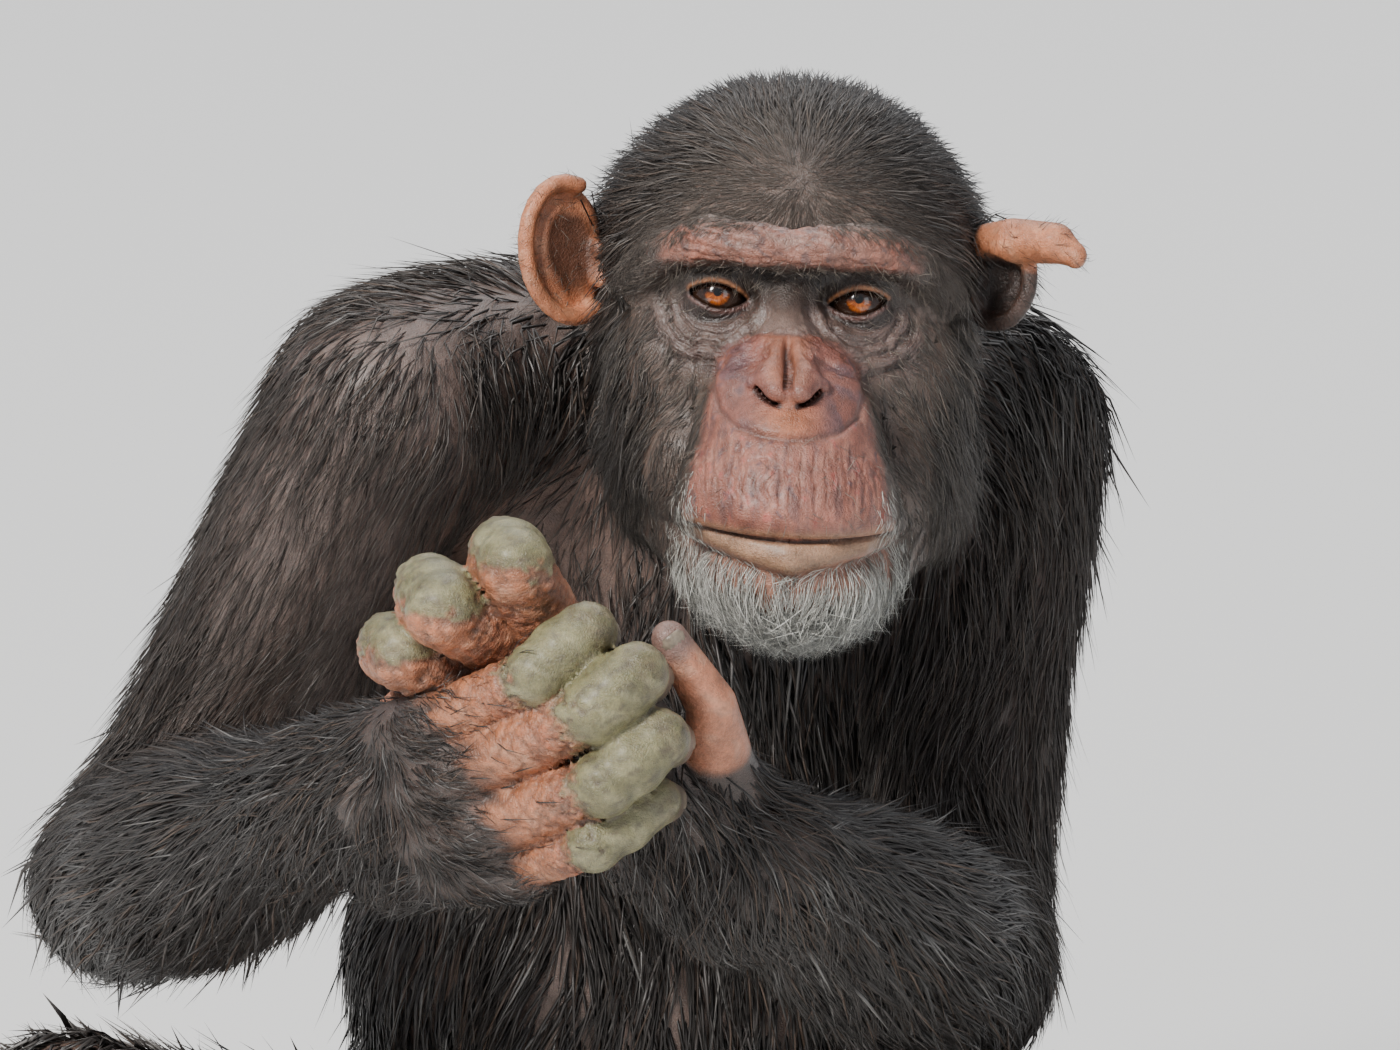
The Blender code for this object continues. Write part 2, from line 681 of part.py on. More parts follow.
def add_lock(where, own, near, seed):
    """Adds one lock, made shorter or left out if it would touch another node or the floor."""
    root, lie, (length, width, thick, lift), facing = seed
    for shorter in (1.0, 0.8, 0.6, 0.45):
        sizes = (length * shorter * CHANCE.uniform(0.88, 1.12), width, thick, lift * shorter)
        corners, faces = lock_shape(own, root, lie.normalized(), sizes, facing)
        own_tree = BVHTree.FromPolygons(corners, faces)
        above_floor = min(corner.z for corner in corners) > FLOOR_CLEARANCE
        if above_floor and not any(own_tree.overlap(tree) for tree in near):
            bm = bmesh.new()
            made = [bm.verts.new(corner) for corner in corners]
            for face in faces:
                bm.faces.new([made[corner] for corner in face])
            bmesh.ops.recalc_face_normals(bm, faces=bm.faces)
            mesh_object("lock", bm, where)
            return


def with_locks(obj, seeds, others):
    """Grows a lock from each seed (root, lie, sizes, facing) and joins them all to obj by one Boolean.

    Another draw of lengths is tried where two locks happen to meet along an edge.
    """
    own = surface(obj)
    near = [surface(other, GAP * 2) for other in others]
    bare = obj.data.copy()
    for _ in range(6):
        locks = collection("locks")
        for seed in seeds:
            add_lock(locks, own, near, seed)
        combined(obj, "UNION", group=locks, solver="MANIFOLD")
        for lock in list(locks.objects):
            bpy.data.objects.remove(lock)
        bpy.data.collections.remove(locks)
        if is_closed(obj):
            return obj
        obj.data = bare.copy()
    return obj


def limb_seeds(start, end, radii, facing, spread, rows, row_locks, lie, sizes):
    """Seeds in staggered rows round one side of a limb: facing is the middle of that side."""
    along = (end - start).normalized()
    facing = (facing - along * facing.dot(along)).normalized()
    seeds = []
    for row in range(rows):
        t = (row + 0.5) / rows
        for step in range(row_locks):
            swing = spread * ((step + 0.5 + (row % 2) * 0.5) / row_locks - 0.5) * 2
            swing += CHANCE.uniform(-0.08, 0.08)
            out = Matrix.Rotation(swing, 3, along) @ facing
            radius = radii[0] + (radii[1] - radii[0]) * t
            seeds.append((start.lerp(end, t) + out * radius, lie, sizes, None))
    return seeds


# Whiskers: for each row down a cheek, its depth in the head and the heights of its top and bottom.
# Beard: for each row round the chin, its reach forward, its height, its number of locks and their length
WHISKER_ROWS = ((26, -40, -88), (44, -4, -88), (64, 6, -74))
BEARD_ROWS = ((70, -110, 9, 0.031), (62, -119, 8, 0.025), (50, -127, 6, 0.017))
# Hair at the back of the head: for each row its slope from the crown and its number of locks
CROWN_ROWS = ((20, 4), (46, 6), (72, 8))
CROWN_MIDDLE, CROWN_REACH = Vector((0, 84, 20)), 95


def head_seeds():
    """Whiskers down the cheeks, the beard round the chin, and the longer hair at the back of the head."""
    seeds = []
    turn = head_turn()
    for side in (-1, 1):
        for row, (deep, top, bottom) in enumerate(WHISKER_ROWS):
            for step in range(4):
                z = top + (bottom - top) * (step + 0.5 * (row % 2)) / 4
                lie = turn @ Vector((side * 0.32, 0.10, -0.90))
                seeds.append((head_point(side * 92, deep, z), lie, WHISKER, None))
    for reach, z, count, length in BEARD_ROWS:
        for step in range(count):
            swing = math.radians(-78 + 156 * (step + 0.5) / count)
            root = head_point(math.sin(swing) * 54, 4 - math.cos(swing) * reach, z)
            lie = turn @ Vector((math.sin(swing) * 0.1, -0.05, -1.0))
            facing = turn @ Vector((math.sin(swing), -math.cos(swing), 0))
            seeds.append((root, lie, (length, *BEARD_LOCK), facing))
    for slope, count in CROWN_ROWS:
        for step in range(count):
            swing = math.radians(-105 + 210 * (step + 0.5) / count)
            out = Vector((math.sin(swing), math.cos(swing), 0))
            tilt = math.radians(slope)
            reach = CROWN_REACH * (out * math.sin(tilt) + Vector((0, 0, math.cos(tilt))))
            root = head_point(*(CROWN_MIDDLE + reach))
            lie = turn @ (out * math.cos(tilt) - Vector((0, 0, math.sin(tilt))))
            seeds.append((root, lie, CROWN_LOCK, None))
    return seeds


DOWN = Vector((0, 0, -1))
FLOOR_CLEARANCE = 0.004


# Rows of the back: height, how far out from the spine's line the roots are sought, and the number of locks
BACK_ROWS = ((0.600, 0.09, 4), (0.575, 0.13, 5), (0.520, 0.16, 6), (0.450, 0.18, 7), (0.370, 0.18, 7),
             (0.290, 0.18, 7), (0.205, 0.18, 7))


def back_seeds():
    """Long hair over the shoulders and down the back and flanks."""
    seeds = []
    for row, (level, reach, count) in enumerate(BACK_ROWS):
        turn = math.radians(24 - 16 * row / (len(BACK_ROWS) - 1))
        for step in range(count):
            swing = turn + math.radians(-98 + 196 * (step + 0.5 * (row % 2) + 0.25) / count)
            out = Vector((-math.sin(swing), math.cos(swing), 0))
            lie = DOWN + out * max(level - 0.5, 0) * 12
            seeds.append((Vector((0.018, 0.0, level)) + out * reach, lie, BACK_LOCK, None))
    return seeds


def body_seeds():
    """For each node with long hair, its seeds."""
    seeds = {"head": head_seeds(), "torso": back_seeds()}
    top = head_point(*NECK_TOP)
    seeds["neck"] = limb_seeds(top.lerp(NECK_BASE, 0.1), top.lerp(NECK_BASE, 0.8), (0.075, 0.085),
                               Vector((0.25, 0.9, 0.35)), 1.4, 2, 5, NECK_BASE - top + DOWN * 0.02, NAPE_LOCK)
    for which, side in (("right", -1), ("left", 1)):
        shoulder, elbow, wrist = SHOULDER[which], ELBOW[which], WRIST[which]
        hip, knee, ankle = HIP[which], KNEE[which], ANKLE[which]
        outer = Vector((side, 0.35, 0))
        seeds["upper_arm_" + which] = limb_seeds(
            shoulder.lerp(elbow, -0.14), elbow.lerp(shoulder, 0.08), (0.055, 0.045), outer, 1.6, 5, 4,
            elbow - shoulder + DOWN * 0.05, ARM_LOCK)
        seeds["forearm_" + which] = limb_seeds(
            wrist.lerp(elbow, 0.25), elbow, (0.040, 0.055), DOWN + outer * 0.5, 1.5, 3, 4,
            elbow - wrist + DOWN * 0.16, FOREARM_LOCK)
        seeds["thigh_" + which] = limb_seeds(
            hip.lerp(knee, 0.25), knee, (0.08, 0.055), outer + Vector((0, 0, 0.5)), 1.5, 3, 4,
            knee - hip + DOWN * 0.06, LEG_LOCK)
        seeds["shank_" + which] = limb_seeds(
            knee, knee.lerp(ankle, 0.75), (0.052, 0.040), outer + Vector((0, -0.3, 0)), 2.0, 3, 3,
            ankle - knee, LEG_LOCK)
    return seeds


# Between the thighs, where their roots would meet inside the rump: the middle, and half the wall left there
MIDLINE, HIP_WALL = 0.003, 0.003


def build():
    head = make_head()
    eyes = [eye_ball(name, side, EYE_RADIUS, BODY) for name, side in (("eye_right", -1), ("eye_left", 1))]
    ears = [make_ear("ear_right", "right"), make_ear("ear_left", "left")]
    neck = make_neck()
    cleared(head, neck)
    for ear in ears:
        cleared(ear, head, neck)
    trunk = make_trunk()
    kept_side(trunk, Vector((0, 0, 0)), Vector((0, 0, -1)))
    cleared(trunk, neck, head)
    nodes = [head, *eyes, *ears, neck, trunk]
    hands = {which: make_hand(which) for which in ("right", "left")}
    cleared(hands["left"], hands["right"])
    for which in ("right", "left"):
        arm = make_arm(which)
        hand = hands[which]
        along = (Vector(FINGERS[which][1][0]) - WRIST[which]).normalized()
        kept_side(hand, WRIST[which] + along * GAP / 2, -along)
        kept_side(arm, WRIST[which] - along * GAP / 2, along)
        upper, lower = ELBOW[which] - SHOULDER[which], WRIST[which] - ELBOW[which]
        forearm = parted(arm, "forearm_" + which, ELBOW[which], upper.normalized() + lower.normalized())
        cleared(arm, neck, head)
        cleared(trunk, arm, forearm)
        if which == "left":
            cleared(forearm, hands["right"])
        nodes += [arm, forearm, hand]
    for which in ("right", "left"):
        leg = make_leg(which)
        foot = make_foot(which)
        upper, lower = KNEE[which] - HIP[which], ANKLE[which] - KNEE[which]
        kept_side(leg, Vector((0, 0, 0)), Vector((0, 0, -1)))
        kept_side(leg, ANKLE[which] + Vector((0, 0, 0.006)), lower)
        kept_side(foot, ANKLE[which] + Vector((0, 0, 0.006)) + lower.normalized() * GAP, -lower)
        inward = Vector((1 if which == "right" else -1, 0, 0))
        kept_side(leg, Vector((MIDLINE, 0, 0)) - inward * HIP_WALL, inward)
        shank = parted(leg, "shank_" + which, KNEE[which], upper.normalized() + lower.normalized())
        cleared(trunk, leg)
        nodes += [leg, shank, foot]
    by_name = {node.name: node for node in nodes}
    for name, seeds in body_seeds().items():
        with_locks(by_name[name], seeds, [node for node in nodes if node.name != name])
    for node in nodes:
        finish = HAIR_BROWN
        if node.name.startswith("ear"):
            finish = EAR_SKIN
        if node.name.startswith(("hand", "foot")):
            finish = HAND_SKIN
        if node.name.startswith("eye"):
            finish = EYE_GLOSS
        if node.name == "head":
            finish = FACE_SKIN
        shaded(node, finish)
    bpy.data.collections.remove(CUTTERS)


build()
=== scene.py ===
"""The looks of a life-size seated chimpanzee: skin, eyes, nails and coat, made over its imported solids."""

import math

import bpy
import numpy as np
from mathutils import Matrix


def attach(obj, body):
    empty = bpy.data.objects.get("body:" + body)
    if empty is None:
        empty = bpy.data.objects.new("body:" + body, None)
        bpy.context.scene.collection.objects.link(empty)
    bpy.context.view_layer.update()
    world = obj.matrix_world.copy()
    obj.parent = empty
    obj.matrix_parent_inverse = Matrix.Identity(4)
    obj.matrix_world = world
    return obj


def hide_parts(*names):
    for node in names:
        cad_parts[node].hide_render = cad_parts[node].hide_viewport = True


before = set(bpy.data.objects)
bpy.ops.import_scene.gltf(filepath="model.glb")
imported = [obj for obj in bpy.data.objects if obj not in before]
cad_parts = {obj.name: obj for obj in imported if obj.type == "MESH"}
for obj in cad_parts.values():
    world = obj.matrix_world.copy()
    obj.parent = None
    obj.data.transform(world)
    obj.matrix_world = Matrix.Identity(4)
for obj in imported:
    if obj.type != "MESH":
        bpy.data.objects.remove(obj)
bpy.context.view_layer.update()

# Studio. A pale flat floor, round and far wider than the picture, one large soft lamp at the upper
# left as the sun stands in the photo, a wide fill, and one that washes the floor behind.
FLOOR_RINGS, FLOOR_TURNS = (0.5, 1.5, 4.0, 12.0, 40.0), 96
# The point between the eyes in metres, where it is in the photo, and the photo's size, in pixels
BETWEEN_EYES = np.array((0.065, -0.24, 0.66))
EYES_ACROSS_PX, EYES_DOWN_PX = 788, 302
PHOTO_WIDTH_PX, PHOTO_HEIGHT_PX = 1400, 1050
PIXELS_PER_MM = 2.4
CAMERA_RISE, CAMERA_REACH, SENSOR_WIDTH = math.radians(15), 4.0, 36.0


def mesh_piece(name, places, faces, smooth=True):
    """A mesh object from an array of corners and an array of faces of three or four corners each."""
    faces = np.asarray(faces)
    mesh = bpy.data.meshes.new(name)
    mesh.vertices.add(len(places))
    mesh.vertices.foreach_set("co", np.asarray(places, np.float32).ravel())
    mesh.loops.add(faces.size)
    mesh.loops.foreach_set("vertex_index", faces.astype(np.int32).ravel())
    mesh.polygons.add(len(faces))
    mesh.polygons.foreach_set("loop_start", np.arange(0, faces.size, faces.shape[1], dtype=np.int32))
    mesh.polygons.foreach_set("use_smooth", np.full(len(faces), smooth))
    mesh.update(calc_edges=True)
    made = bpy.data.objects.new(name, mesh)
    bpy.context.scene.collection.objects.link(made)
    return made


def sheet_faces(rows, columns, closed=False):
    """The four-sided faces of a grid of corners, row by row; closed joins its last column to its first."""
    row = np.arange(rows - 1)[:, None] * columns
    column = np.arange(columns if closed else columns - 1)[None]
    beside = (column + 1) % columns
    ring = (row + column, row + beside, row + columns + beside, row + columns + column)
    return np.stack(ring, axis=-1).reshape(-1, 4)


class Finish:
    """A new material: its shader, and functions that add the nodes its patterns are made of."""

    def __init__(self, name):
        self.made = bpy.data.materials.new(name)
        self.made.use_nodes = True
        self.shader = self.made.node_tree.nodes["Principled BSDF"]

    def add(self, kind, values, **settings):
        """A node of that kind; each value is set on its socket, or linked where it is a node's output."""
        node = self.made.node_tree.nodes.new("ShaderNode" + kind)
        for setting, value in settings.items():
            setattr(node, setting, value)
        for socket, value in values.items():
            if isinstance(value, bpy.types.NodeSocket):
                self.made.node_tree.links.new(value, node.inputs[socket])
            else:
                node.inputs[socket].default_value = value
        return node

    def spot(self):
        """The place on the object."""
        return self.add("TexCoord", {}).outputs["Object"]

    def noise(self, spot, scale, detail, **more):
        """Cloudy noise from 0 to 1."""
        return self.add("TexNoise", {"Vector": spot, "Scale": scale, "Detail": detail, **more}).outputs["Fac"]

    def span(self, value, low, high, to_low=0.0, to_high=1.0):
        """The value carried in a straight line from one range to another, and held at its ends."""
        ends = {"From Min": low, "From Max": high, "To Min": to_low, "To Max": to_high}
        return self.add("MapRange", {"Value": value, **ends}).outputs[0]

    def attribute(self, name, output="Color"):
        """What the mesh keeps at each corner under that name."""
        return self.add("Attribute", {}, attribute_name=name).outputs[output]

    def scaled(self, spot, scale):
        """The place with each of its axes times its own scale."""
        return self.add("Mapping", {"Vector": spot, "Scale": scale}).outputs[0]

    def layer(self, name):
        """The place on the piece's own UV map of that name."""
        return self.add("UVMap", {}, uv_map=name).outputs[0]

    def cells(self, spot, scale):
        """The distance to the nearest edge between scattered cells."""
        values = {"Vector": spot, "Scale": scale}
        return self.add("TexVoronoi", values, feature="DISTANCE_TO_EDGE").outputs["Distance"]

    def sine(self, value):
        """The sine of the value."""
        return self.add("Math", {0: value}, operation="SINE").outputs[0]

    def times(self, a, b):
        """The first value times the second."""
        return self.add("Math", {0: a, 1: b}, operation="MULTIPLY").outputs[0]

    def times_plus(self, a, b, c):
        """The first value times the second, plus the third."""
        return self.add("Math", {0: a, 1: b, 2: c}, operation="MULTIPLY_ADD").outputs[0]

    def ramp(self, value, *stops):
        """A colour by the value: each stop is a position and a colour, with a straight blend between."""
        node = self.add("ValToRGB", {"Fac": value})
        for number, (position, colour) in enumerate(stops):
            stop = node.color_ramp.elements[number] if number < 2 else node.color_ramp.elements.new(position)
            stop.position, stop.color = position, (*colour, 1)
        return node.outputs[0]

    def shaded(self, colour, level):
        """The colour made brighter or darker by the level."""
        return self.add("VectorMath", {0: colour, "Scale": level}, operation="SCALE").outputs[0]

    def put(self, **values):
        """Sets or links the shader's own sockets; an underscore stands for the space in a socket's name."""
        for name, value in values.items():
            socket = self.shader.inputs[name.replace("_", " ")]
            if isinstance(value, bpy.types.NodeSocket):
                self.made.node_tree.links.new(value, socket)
            else:
                socket.default_value = value

    def bump(self, height, strength, distance):
        """Raises the surface by the height, that many metres at most."""
        values = {"Height": height, "Strength": strength, "Distance": distance}
        self.put(Normal=self.add("Bump", values).outputs[0])


def studio_floor():
    """A flat disc: a corner is its ring's reach times the cosine and sine of its turn, round a middle fan."""
    reach = np.array(FLOOR_RINGS)[:, None]
    turn = np.linspace(0, 2 * math.pi, FLOOR_TURNS, endpoint=False)
    places = np.stack((reach * np.cos(turn), reach * np.sin(turn), 0 * reach * turn), -1).reshape(-1, 3)
    third = np.arange(2, FLOOR_TURNS)
    fan = np.stack((0 * third, third - 1, third), -1)
    rings = sheet_faces(len(FLOOR_RINGS), FLOOR_TURNS, closed=True)[:, ::-1]
    rings = np.concatenate((rings[:, (0, 1, 2)], rings[:, (0, 2, 3)]))
    floor = mesh_piece("studio_floor", places, np.concatenate((fan, rings)), smooth=False)
    paper = Finish("pale paper")
    mottle = paper.noise(paper.spot(), 3.0, 4.0)
    paper.put(Base_Color=(0.86, 0.85, 0.83, 1), Roughness=paper.span(mottle, 0, 1, 0.88, 0.94))
    floor.data.materials.append(paper.made)


def lamp(name, place, target, size, power, colour):
    """A square area lamp that looks from its place at the target."""
    light = bpy.data.lights.new(name, "AREA")
    light.size, light.energy, light.color = size, power, colour
    holder = bpy.data.objects.new(name, light)
    bpy.context.scene.collection.objects.link(holder)
    holder.location = place
    away = np.array(place, float) - np.array(target, float)
    flat = math.hypot(away[0], away[1])
    holder.rotation_euler = (math.atan2(flat, away[2]), 0, math.atan2(away[1], away[0]) + math.pi / 2)


studio_floor()
lamp("key lamp", (-1.5, -2.2, 2.9), (0.0, -0.15, 0.45), 0.75, 185, (1.0, 0.97, 0.93))
lamp("fill lamp", (2.6, -3.0, 1.6), (0.0, 0.0, 0.4), 2.4, 30, (0.93, 0.96, 1.0))
lamp("floor lamp", (0.3, 3.0, 3.7), (0.0, 2.6, 0.0), 3.5, 150, (1.0, 1.0, 1.0))

world = bpy.data.worlds.new("studio air")
world.use_nodes = True
world.node_tree.nodes["Background"].inputs["Color"].default_value = (0.80, 0.86, 0.95, 1)
world.node_tree.nodes["Background"].inputs["Strength"].default_value = 0.42
bpy.context.scene.world = world

lens = bpy.data.cameras.new("camera")
lens.sensor_width = SENSOR_WIDTH
lens.lens = PIXELS_PER_MM * 1000 * CAMERA_REACH / PHOTO_WIDTH_PX * SENSOR_WIDTH
lens.shift_x = (PHOTO_WIDTH_PX / 2 - EYES_ACROSS_PX) / PHOTO_WIDTH_PX
lens.shift_y = (EYES_DOWN_PX - PHOTO_HEIGHT_PX / 2) / PHOTO_WIDTH_PX
camera = bpy.data.objects.new("camera", lens)
bpy.context.scene.collection.objects.link(camera)
camera.location = BETWEEN_EYES + np.array((0, -math.cos(CAMERA_RISE), math.sin(CAMERA_RISE))) * CAMERA_REACH
camera.rotation_euler = (math.pi / 2 - CAMERA_RISE, 0, 0)
bpy.context.scene.camera = camera

# Skin. One leathery hide over the whole animal, bare and wrinkled on the face, ears and fingers and
# dark under the coat. It is modelled like clay, from masses of flesh melted together, and cast in
# three: head, hands and body. The casts run into one another under the hair, so that no seam shows.
def turned(axis, degrees):
    """The matrix that turns by that many degrees about axis 0, 1 or 2."""
    c, s = math.cos(math.radians(degrees)), math.sin(math.radians(degrees))
    first, second = (axis + 1) % 3, (axis + 2) % 3
    matrix = np.eye(3)
    matrix[np.ix_((first, second), (first, second))] = ((c, -s), (s, c))
    return matrix


HEAD_TURN = turned(0, -15) @ turned(1, 3)
MUZZLE_LEAN = 0.055


def on_head(points):
    """Millimetres from between the eyes, x left, y back and z up, as places in the model.

    The muzzle leans left by MUZZLE_LEAN of its depth; then the head's turn and tilt.
    """
    points = np.asarray(points, float)
    lean = -MUZZLE_LEAN * np.minimum(points[..., 2:], 0) * (1, 0, 0)
    return BETWEEN_EYES + (points + lean) @ HEAD_TURN.T * 0.001


def from_head(places):
    """Places in the model as millimetres from between the eyes: on_head undone."""
    points = (np.asarray(places, float) - BETWEEN_EYES) @ HEAD_TURN * 1000
    return points + MUZZLE_LEAN * np.minimum(points[..., 2:], 0) * (1, 0, 0)


def fade(value, start, end):
    """0 at start and 1 at end, with a soft step between."""
    t = np.clip((value - start) / (end - start), 0, 1)
    return t * t * (3 - 2 * t)


def bell(value, middle, width):
    """1 at the middle, falling off on both sides as a bell curve of that half-width."""
    return np.exp(-(((value - middle) / width) ** 2))


def swirl(points, size, seed):
    """Soft noise from -1 to 1: seven crossed sine waves of that size, bent by one another."""
    draw = np.random.default_rng(seed)
    total, bend = 0, 0
    for _ in range(7):
        wave = draw.normal(size=3)
        wave *= 2 * math.pi / size / np.linalg.norm(wave) * draw.uniform(0.6, 1.5)
        bend = np.sin(points @ wave + draw.uniform(0, 6.28) + 1.3 * bend)
        total = total + bend
    return total / 3.5


class Clay:
    """A block of grid points, each holding its distance to the surface, below 0 inside."""

    def __init__(self, low, high, step, margin):
        self.low, self.step, self.margin = np.array(low, float), step, margin
        counts = np.ceil((np.array(high) - self.low) / step).astype(int) + 1
        self.depth = np.full(counts, margin, np.float32)

    def region(self, low, high):
        """The slices of the block between two corners, and its grid lines there along each axis."""
        first = np.maximum(np.floor((low - self.low) / self.step).astype(int), 0)
        last = np.minimum(np.ceil((high - self.low) / self.step).astype(int) + 1, self.depth.shape)
        lines = [
            (self.low[i] + self.step * np.arange(first[i], last[i])).astype(np.float32).reshape(
                [-1 if j == i else 1 for j in range(3)])
            for i in range(3)
        ]
        return tuple(slice(a, b) for a, b in zip(first, last)), lines

    def meld(self, cut, shape, soft, carve=False):
        """The lower of the two distances, rounded off over the soft width; carve takes the shape away."""
        old, sign = self.depth[cut], (-1 if carve else 1)
        share = np.clip(0.5 + 0.5 * (sign * old - shape) / soft, 0, 1)
        self.depth[cut] = sign * (sign * old + (shape - sign * old) * share - soft * share * (1 - share))

    def ball(self, centre, radii, soft, turn=None, carve=False):
        """An ellipsoid: how far a point is out of it, scaled by the slope of its unit distance."""
        centre, radii = np.array(centre, float), np.broadcast_to(radii, 3).astype(float)
        reach = radii.max() + (soft * 2 if carve else self.margin)
        cut, lines = self.region(centre - reach, centre + reach)
        x, y, z = (line - np.float32(c) for line, c in zip(lines, centre))
        if turn is not None:
            m = turn.astype(np.float32)
            x, y, z = (m[0, i] * x + m[1, i] * y + m[2, i] * z for i in range(3))
        a, b, c = (radii.astype(np.float32) ** 2)
        near = np.sqrt(x * x / a + y * y / b + z * z / c)
        slope = np.sqrt(x * x / a ** 2 + y * y / b ** 2 + z * z / c ** 2)
        self.meld(cut, near * (near - 1) / np.maximum(slope, 1e-6), soft, carve)

    def limb(self, points, radii, soft, carve=False):
        """A chain of tapered lengths: the distance to the line's nearest point, less its radius there."""
        points, radii = np.array(points, float), np.broadcast_to(radii, len(points)).astype(float)
        reach = radii.max() + (soft * 2 if carve else self.margin)
        cut, (x, y, z) = self.region(points.min(0) - reach, points.max(0) + reach)
        shape = None
        for a, b, first, last in zip(points, points[1:], radii, radii[1:]):
            along = (b - a).astype(np.float32)
            length = max(float(along @ along), 1e-12)
            t = np.clip(((x - np.float32(a[0])) * along[0] + (y - np.float32(a[1])) * along[1]
                         + (z - np.float32(a[2])) * along[2]) / length, 0, 1)
            away = np.sqrt((x - a[0] - along[0] * t) ** 2 + (y - a[1] - along[1] * t) ** 2
                           + (z - a[2] - along[2] * t) ** 2).astype(np.float32)
            away -= np.float32(first) + np.float32(last - first) * t
            shape = away if shape is None else np.minimum(shape, away)
        self.meld(cut, shape, soft, carve)

    def feel(self, places):
        """The distance to the surface at each place, and the direction straight out from it there."""
        spot = (np.asarray(places) - self.low) / self.step
        limit = np.array(self.depth.shape) - 2
        base = np.clip(np.floor(spot).astype(int), 0, limit)
        t = np.clip(spot - base, 0, 1)
        corner = [[[self.depth[base[:, 0] + i, base[:, 1] + j, base[:, 2] + k] for k in (0, 1)]
                   for j in (0, 1)] for i in (0, 1)]
        tx, ty, tz = t.T

        def mix(a, b, share):
            """From a to b by the share."""
            return a + (b - a) * share

        rows = [[mix(corner[i][j][0], corner[i][j][1], tz) for j in (0, 1)] for i in (0, 1)]
        planes = [mix(rows[i][0], rows[i][1], ty) for i in (0, 1)]
        slope_z = mix(mix(corner[0][0][1] - corner[0][0][0], corner[0][1][1] - corner[0][1][0], ty),
                      mix(corner[1][0][1] - corner[1][0][0], corner[1][1][1] - corner[1][1][0], ty), tx)
        out = np.stack((planes[1] - planes[0], mix(rows[0][1] - rows[0][0], rows[1][1] - rows[1][0], tx),
                        slope_z), -1) / self.step
        size = np.linalg.norm(out, axis=1)
        return mix(planes[0], planes[1], tx), out / np.maximum(size, 1e-9)[:, None]

    def cast(self):
        """One corner in each cell that the surface crosses, at the mean of where it crosses the cell's
        edges, and a four-sided face across each grid line that it crosses; then drawn onto the surface."""
        f = self.depth
        inside = f < 0
        corners = [(i, j, k) for i in (0, 1) for j in (0, 1) for k in (0, 1)]
        shape = np.array(f.shape) - 1
        count = sum(inside[i:i + shape[0], j:j + shape[1], k:k + shape[2]].astype(np.int8)
                    for i, j, k in corners)
        mixed = (count > 0) & (count < 8)
        cells = np.argwhere(mixed)
        number = np.full(mixed.shape, -1, np.int32)
        number[mixed] = np.arange(len(cells), dtype=np.int32)
        total, hits = np.zeros((len(cells), 3)), np.zeros(len(cells))
        for a in corners:
            for axis in range(3):
                if a[axis]:
                    continue
                b = np.array(a)
                b[axis] = 1
                first, last = f[tuple((cells + a).T)], f[tuple((cells + b).T)]
                crossed = (first < 0) != (last < 0)
                share = np.where(crossed, first / np.where(crossed, first - last, 1), 0)
                total[crossed] += (np.array(a) + share[:, None] * (b - a))[crossed]
                hits += crossed
        places = self.low + self.step * (cells + total / hits[:, None])
        faces = []
        for axis in range(3):
            u, v = (axis + 1) % 3, (axis + 2) % 3
            near = [slice(1, -1)] * 3
            far = [slice(1, -1)] * 3
            near[axis], far[axis] = slice(0, -1), slice(1, None)
            lower, upper = inside[tuple(near)], inside[tuple(far)]
            for way in (True, False):
                points = np.argwhere((lower != upper) & (lower == way))
                points[:, u] += 1
                points[:, v] += 1
                step_u, step_v = np.eye(3, dtype=int)[u], np.eye(3, dtype=int)[v]
                ring = [points - step_u - step_v, points - step_v, points, points - step_u]
                quads = np.stack([number[tuple(r.T)] for r in (ring if way else ring[::-1])], -1)
                faces.append(quads)
        faces = np.concatenate(faces)
        edges = np.concatenate([faces[:, (i, (i + 1) % 4)] for i in range(4)])
        for _ in range(3):
            sums = np.stack([np.bincount(edges[:, 0], places[edges[:, 1], i], len(places))
                             for i in range(3)], -1)
            near = np.bincount(edges[:, 0], minlength=len(places))
            places = places * 0.4 + sums / np.maximum(near, 1)[:, None] * 0.6
            away, out = self.feel(places)
            places = places - out * np.clip(away, -self.step, self.step)[:, None]
        return places, faces


def both_sides(half):
    """The whole of an even line, from its left half: the same points mirrored, then the half itself."""
    return tuple((-point[0], *point[1:]) for point in half[:0:-1]) + tuple(half)


# The head, in millimetres from between the eyes: each mass is a centre and its half-axes
SKULL_MASSES = (
    ((0, 90, 22), (77, 86, 70)), ((0, 44, 12), (70, 48, 46)), ((0, 38, -30), (66, 47, 60)),
    ((-52, 42, -30), (23, 32, 36)), ((52, 42, -30), (23, 32, 36)),
    ((-44, 38, -70), (22, 42, 34)), ((44, 38, -70), (22, 42, 34)), ((0, 22, -96), (42, 50, 26)),
)
MUZZLE_MASSES = (
    ((0, -10, -40), (31, 40, 30)), ((0, -20, -62), (40, 46, 36)), ((0, -34, -78), (45, 40, 24)),
    ((0, -32, -114), (36, 31, 20)),
)
JAW = ((0, -24, -110), (26, 8, -110), (50, 58, -88), (60, 82, -50))
BROW = both_sides(((0, -13, 21), (14, -13.5, 23.0), (34, -8, 24.5), (52, 6, 18), (66, 26, 5)))
BROW_RADII = (8, 9.5, 9.8, 9.5, 8.8, 9.5, 9.8, 9.5, 8)
NOSE_BRIDGE = ((0, 0, 6), (0, -10, -8), (0, -26, -20), (0, -40, -30))
UPPER_LIP = both_sides(((0, -69, -88), (16, -65, -88), (33, -50, -87), (43, -20, -88)))
LOWER_LIP = both_sides(((0, -65.5, -104.8), (14, -62, -102.5), (29, -51, -99.5), (39, -30, -95.5)))
NOSE_WING = ((3.4, -30, -15), (5.8, -43, -24), (7.0, -52, -31.5), (5.0, -57.0, -37.0))
NOSTRIL_SLIT = ((13.4, -37.4), (10.4, -39.8), (7.2, -41.8), (3.8, -42.8))
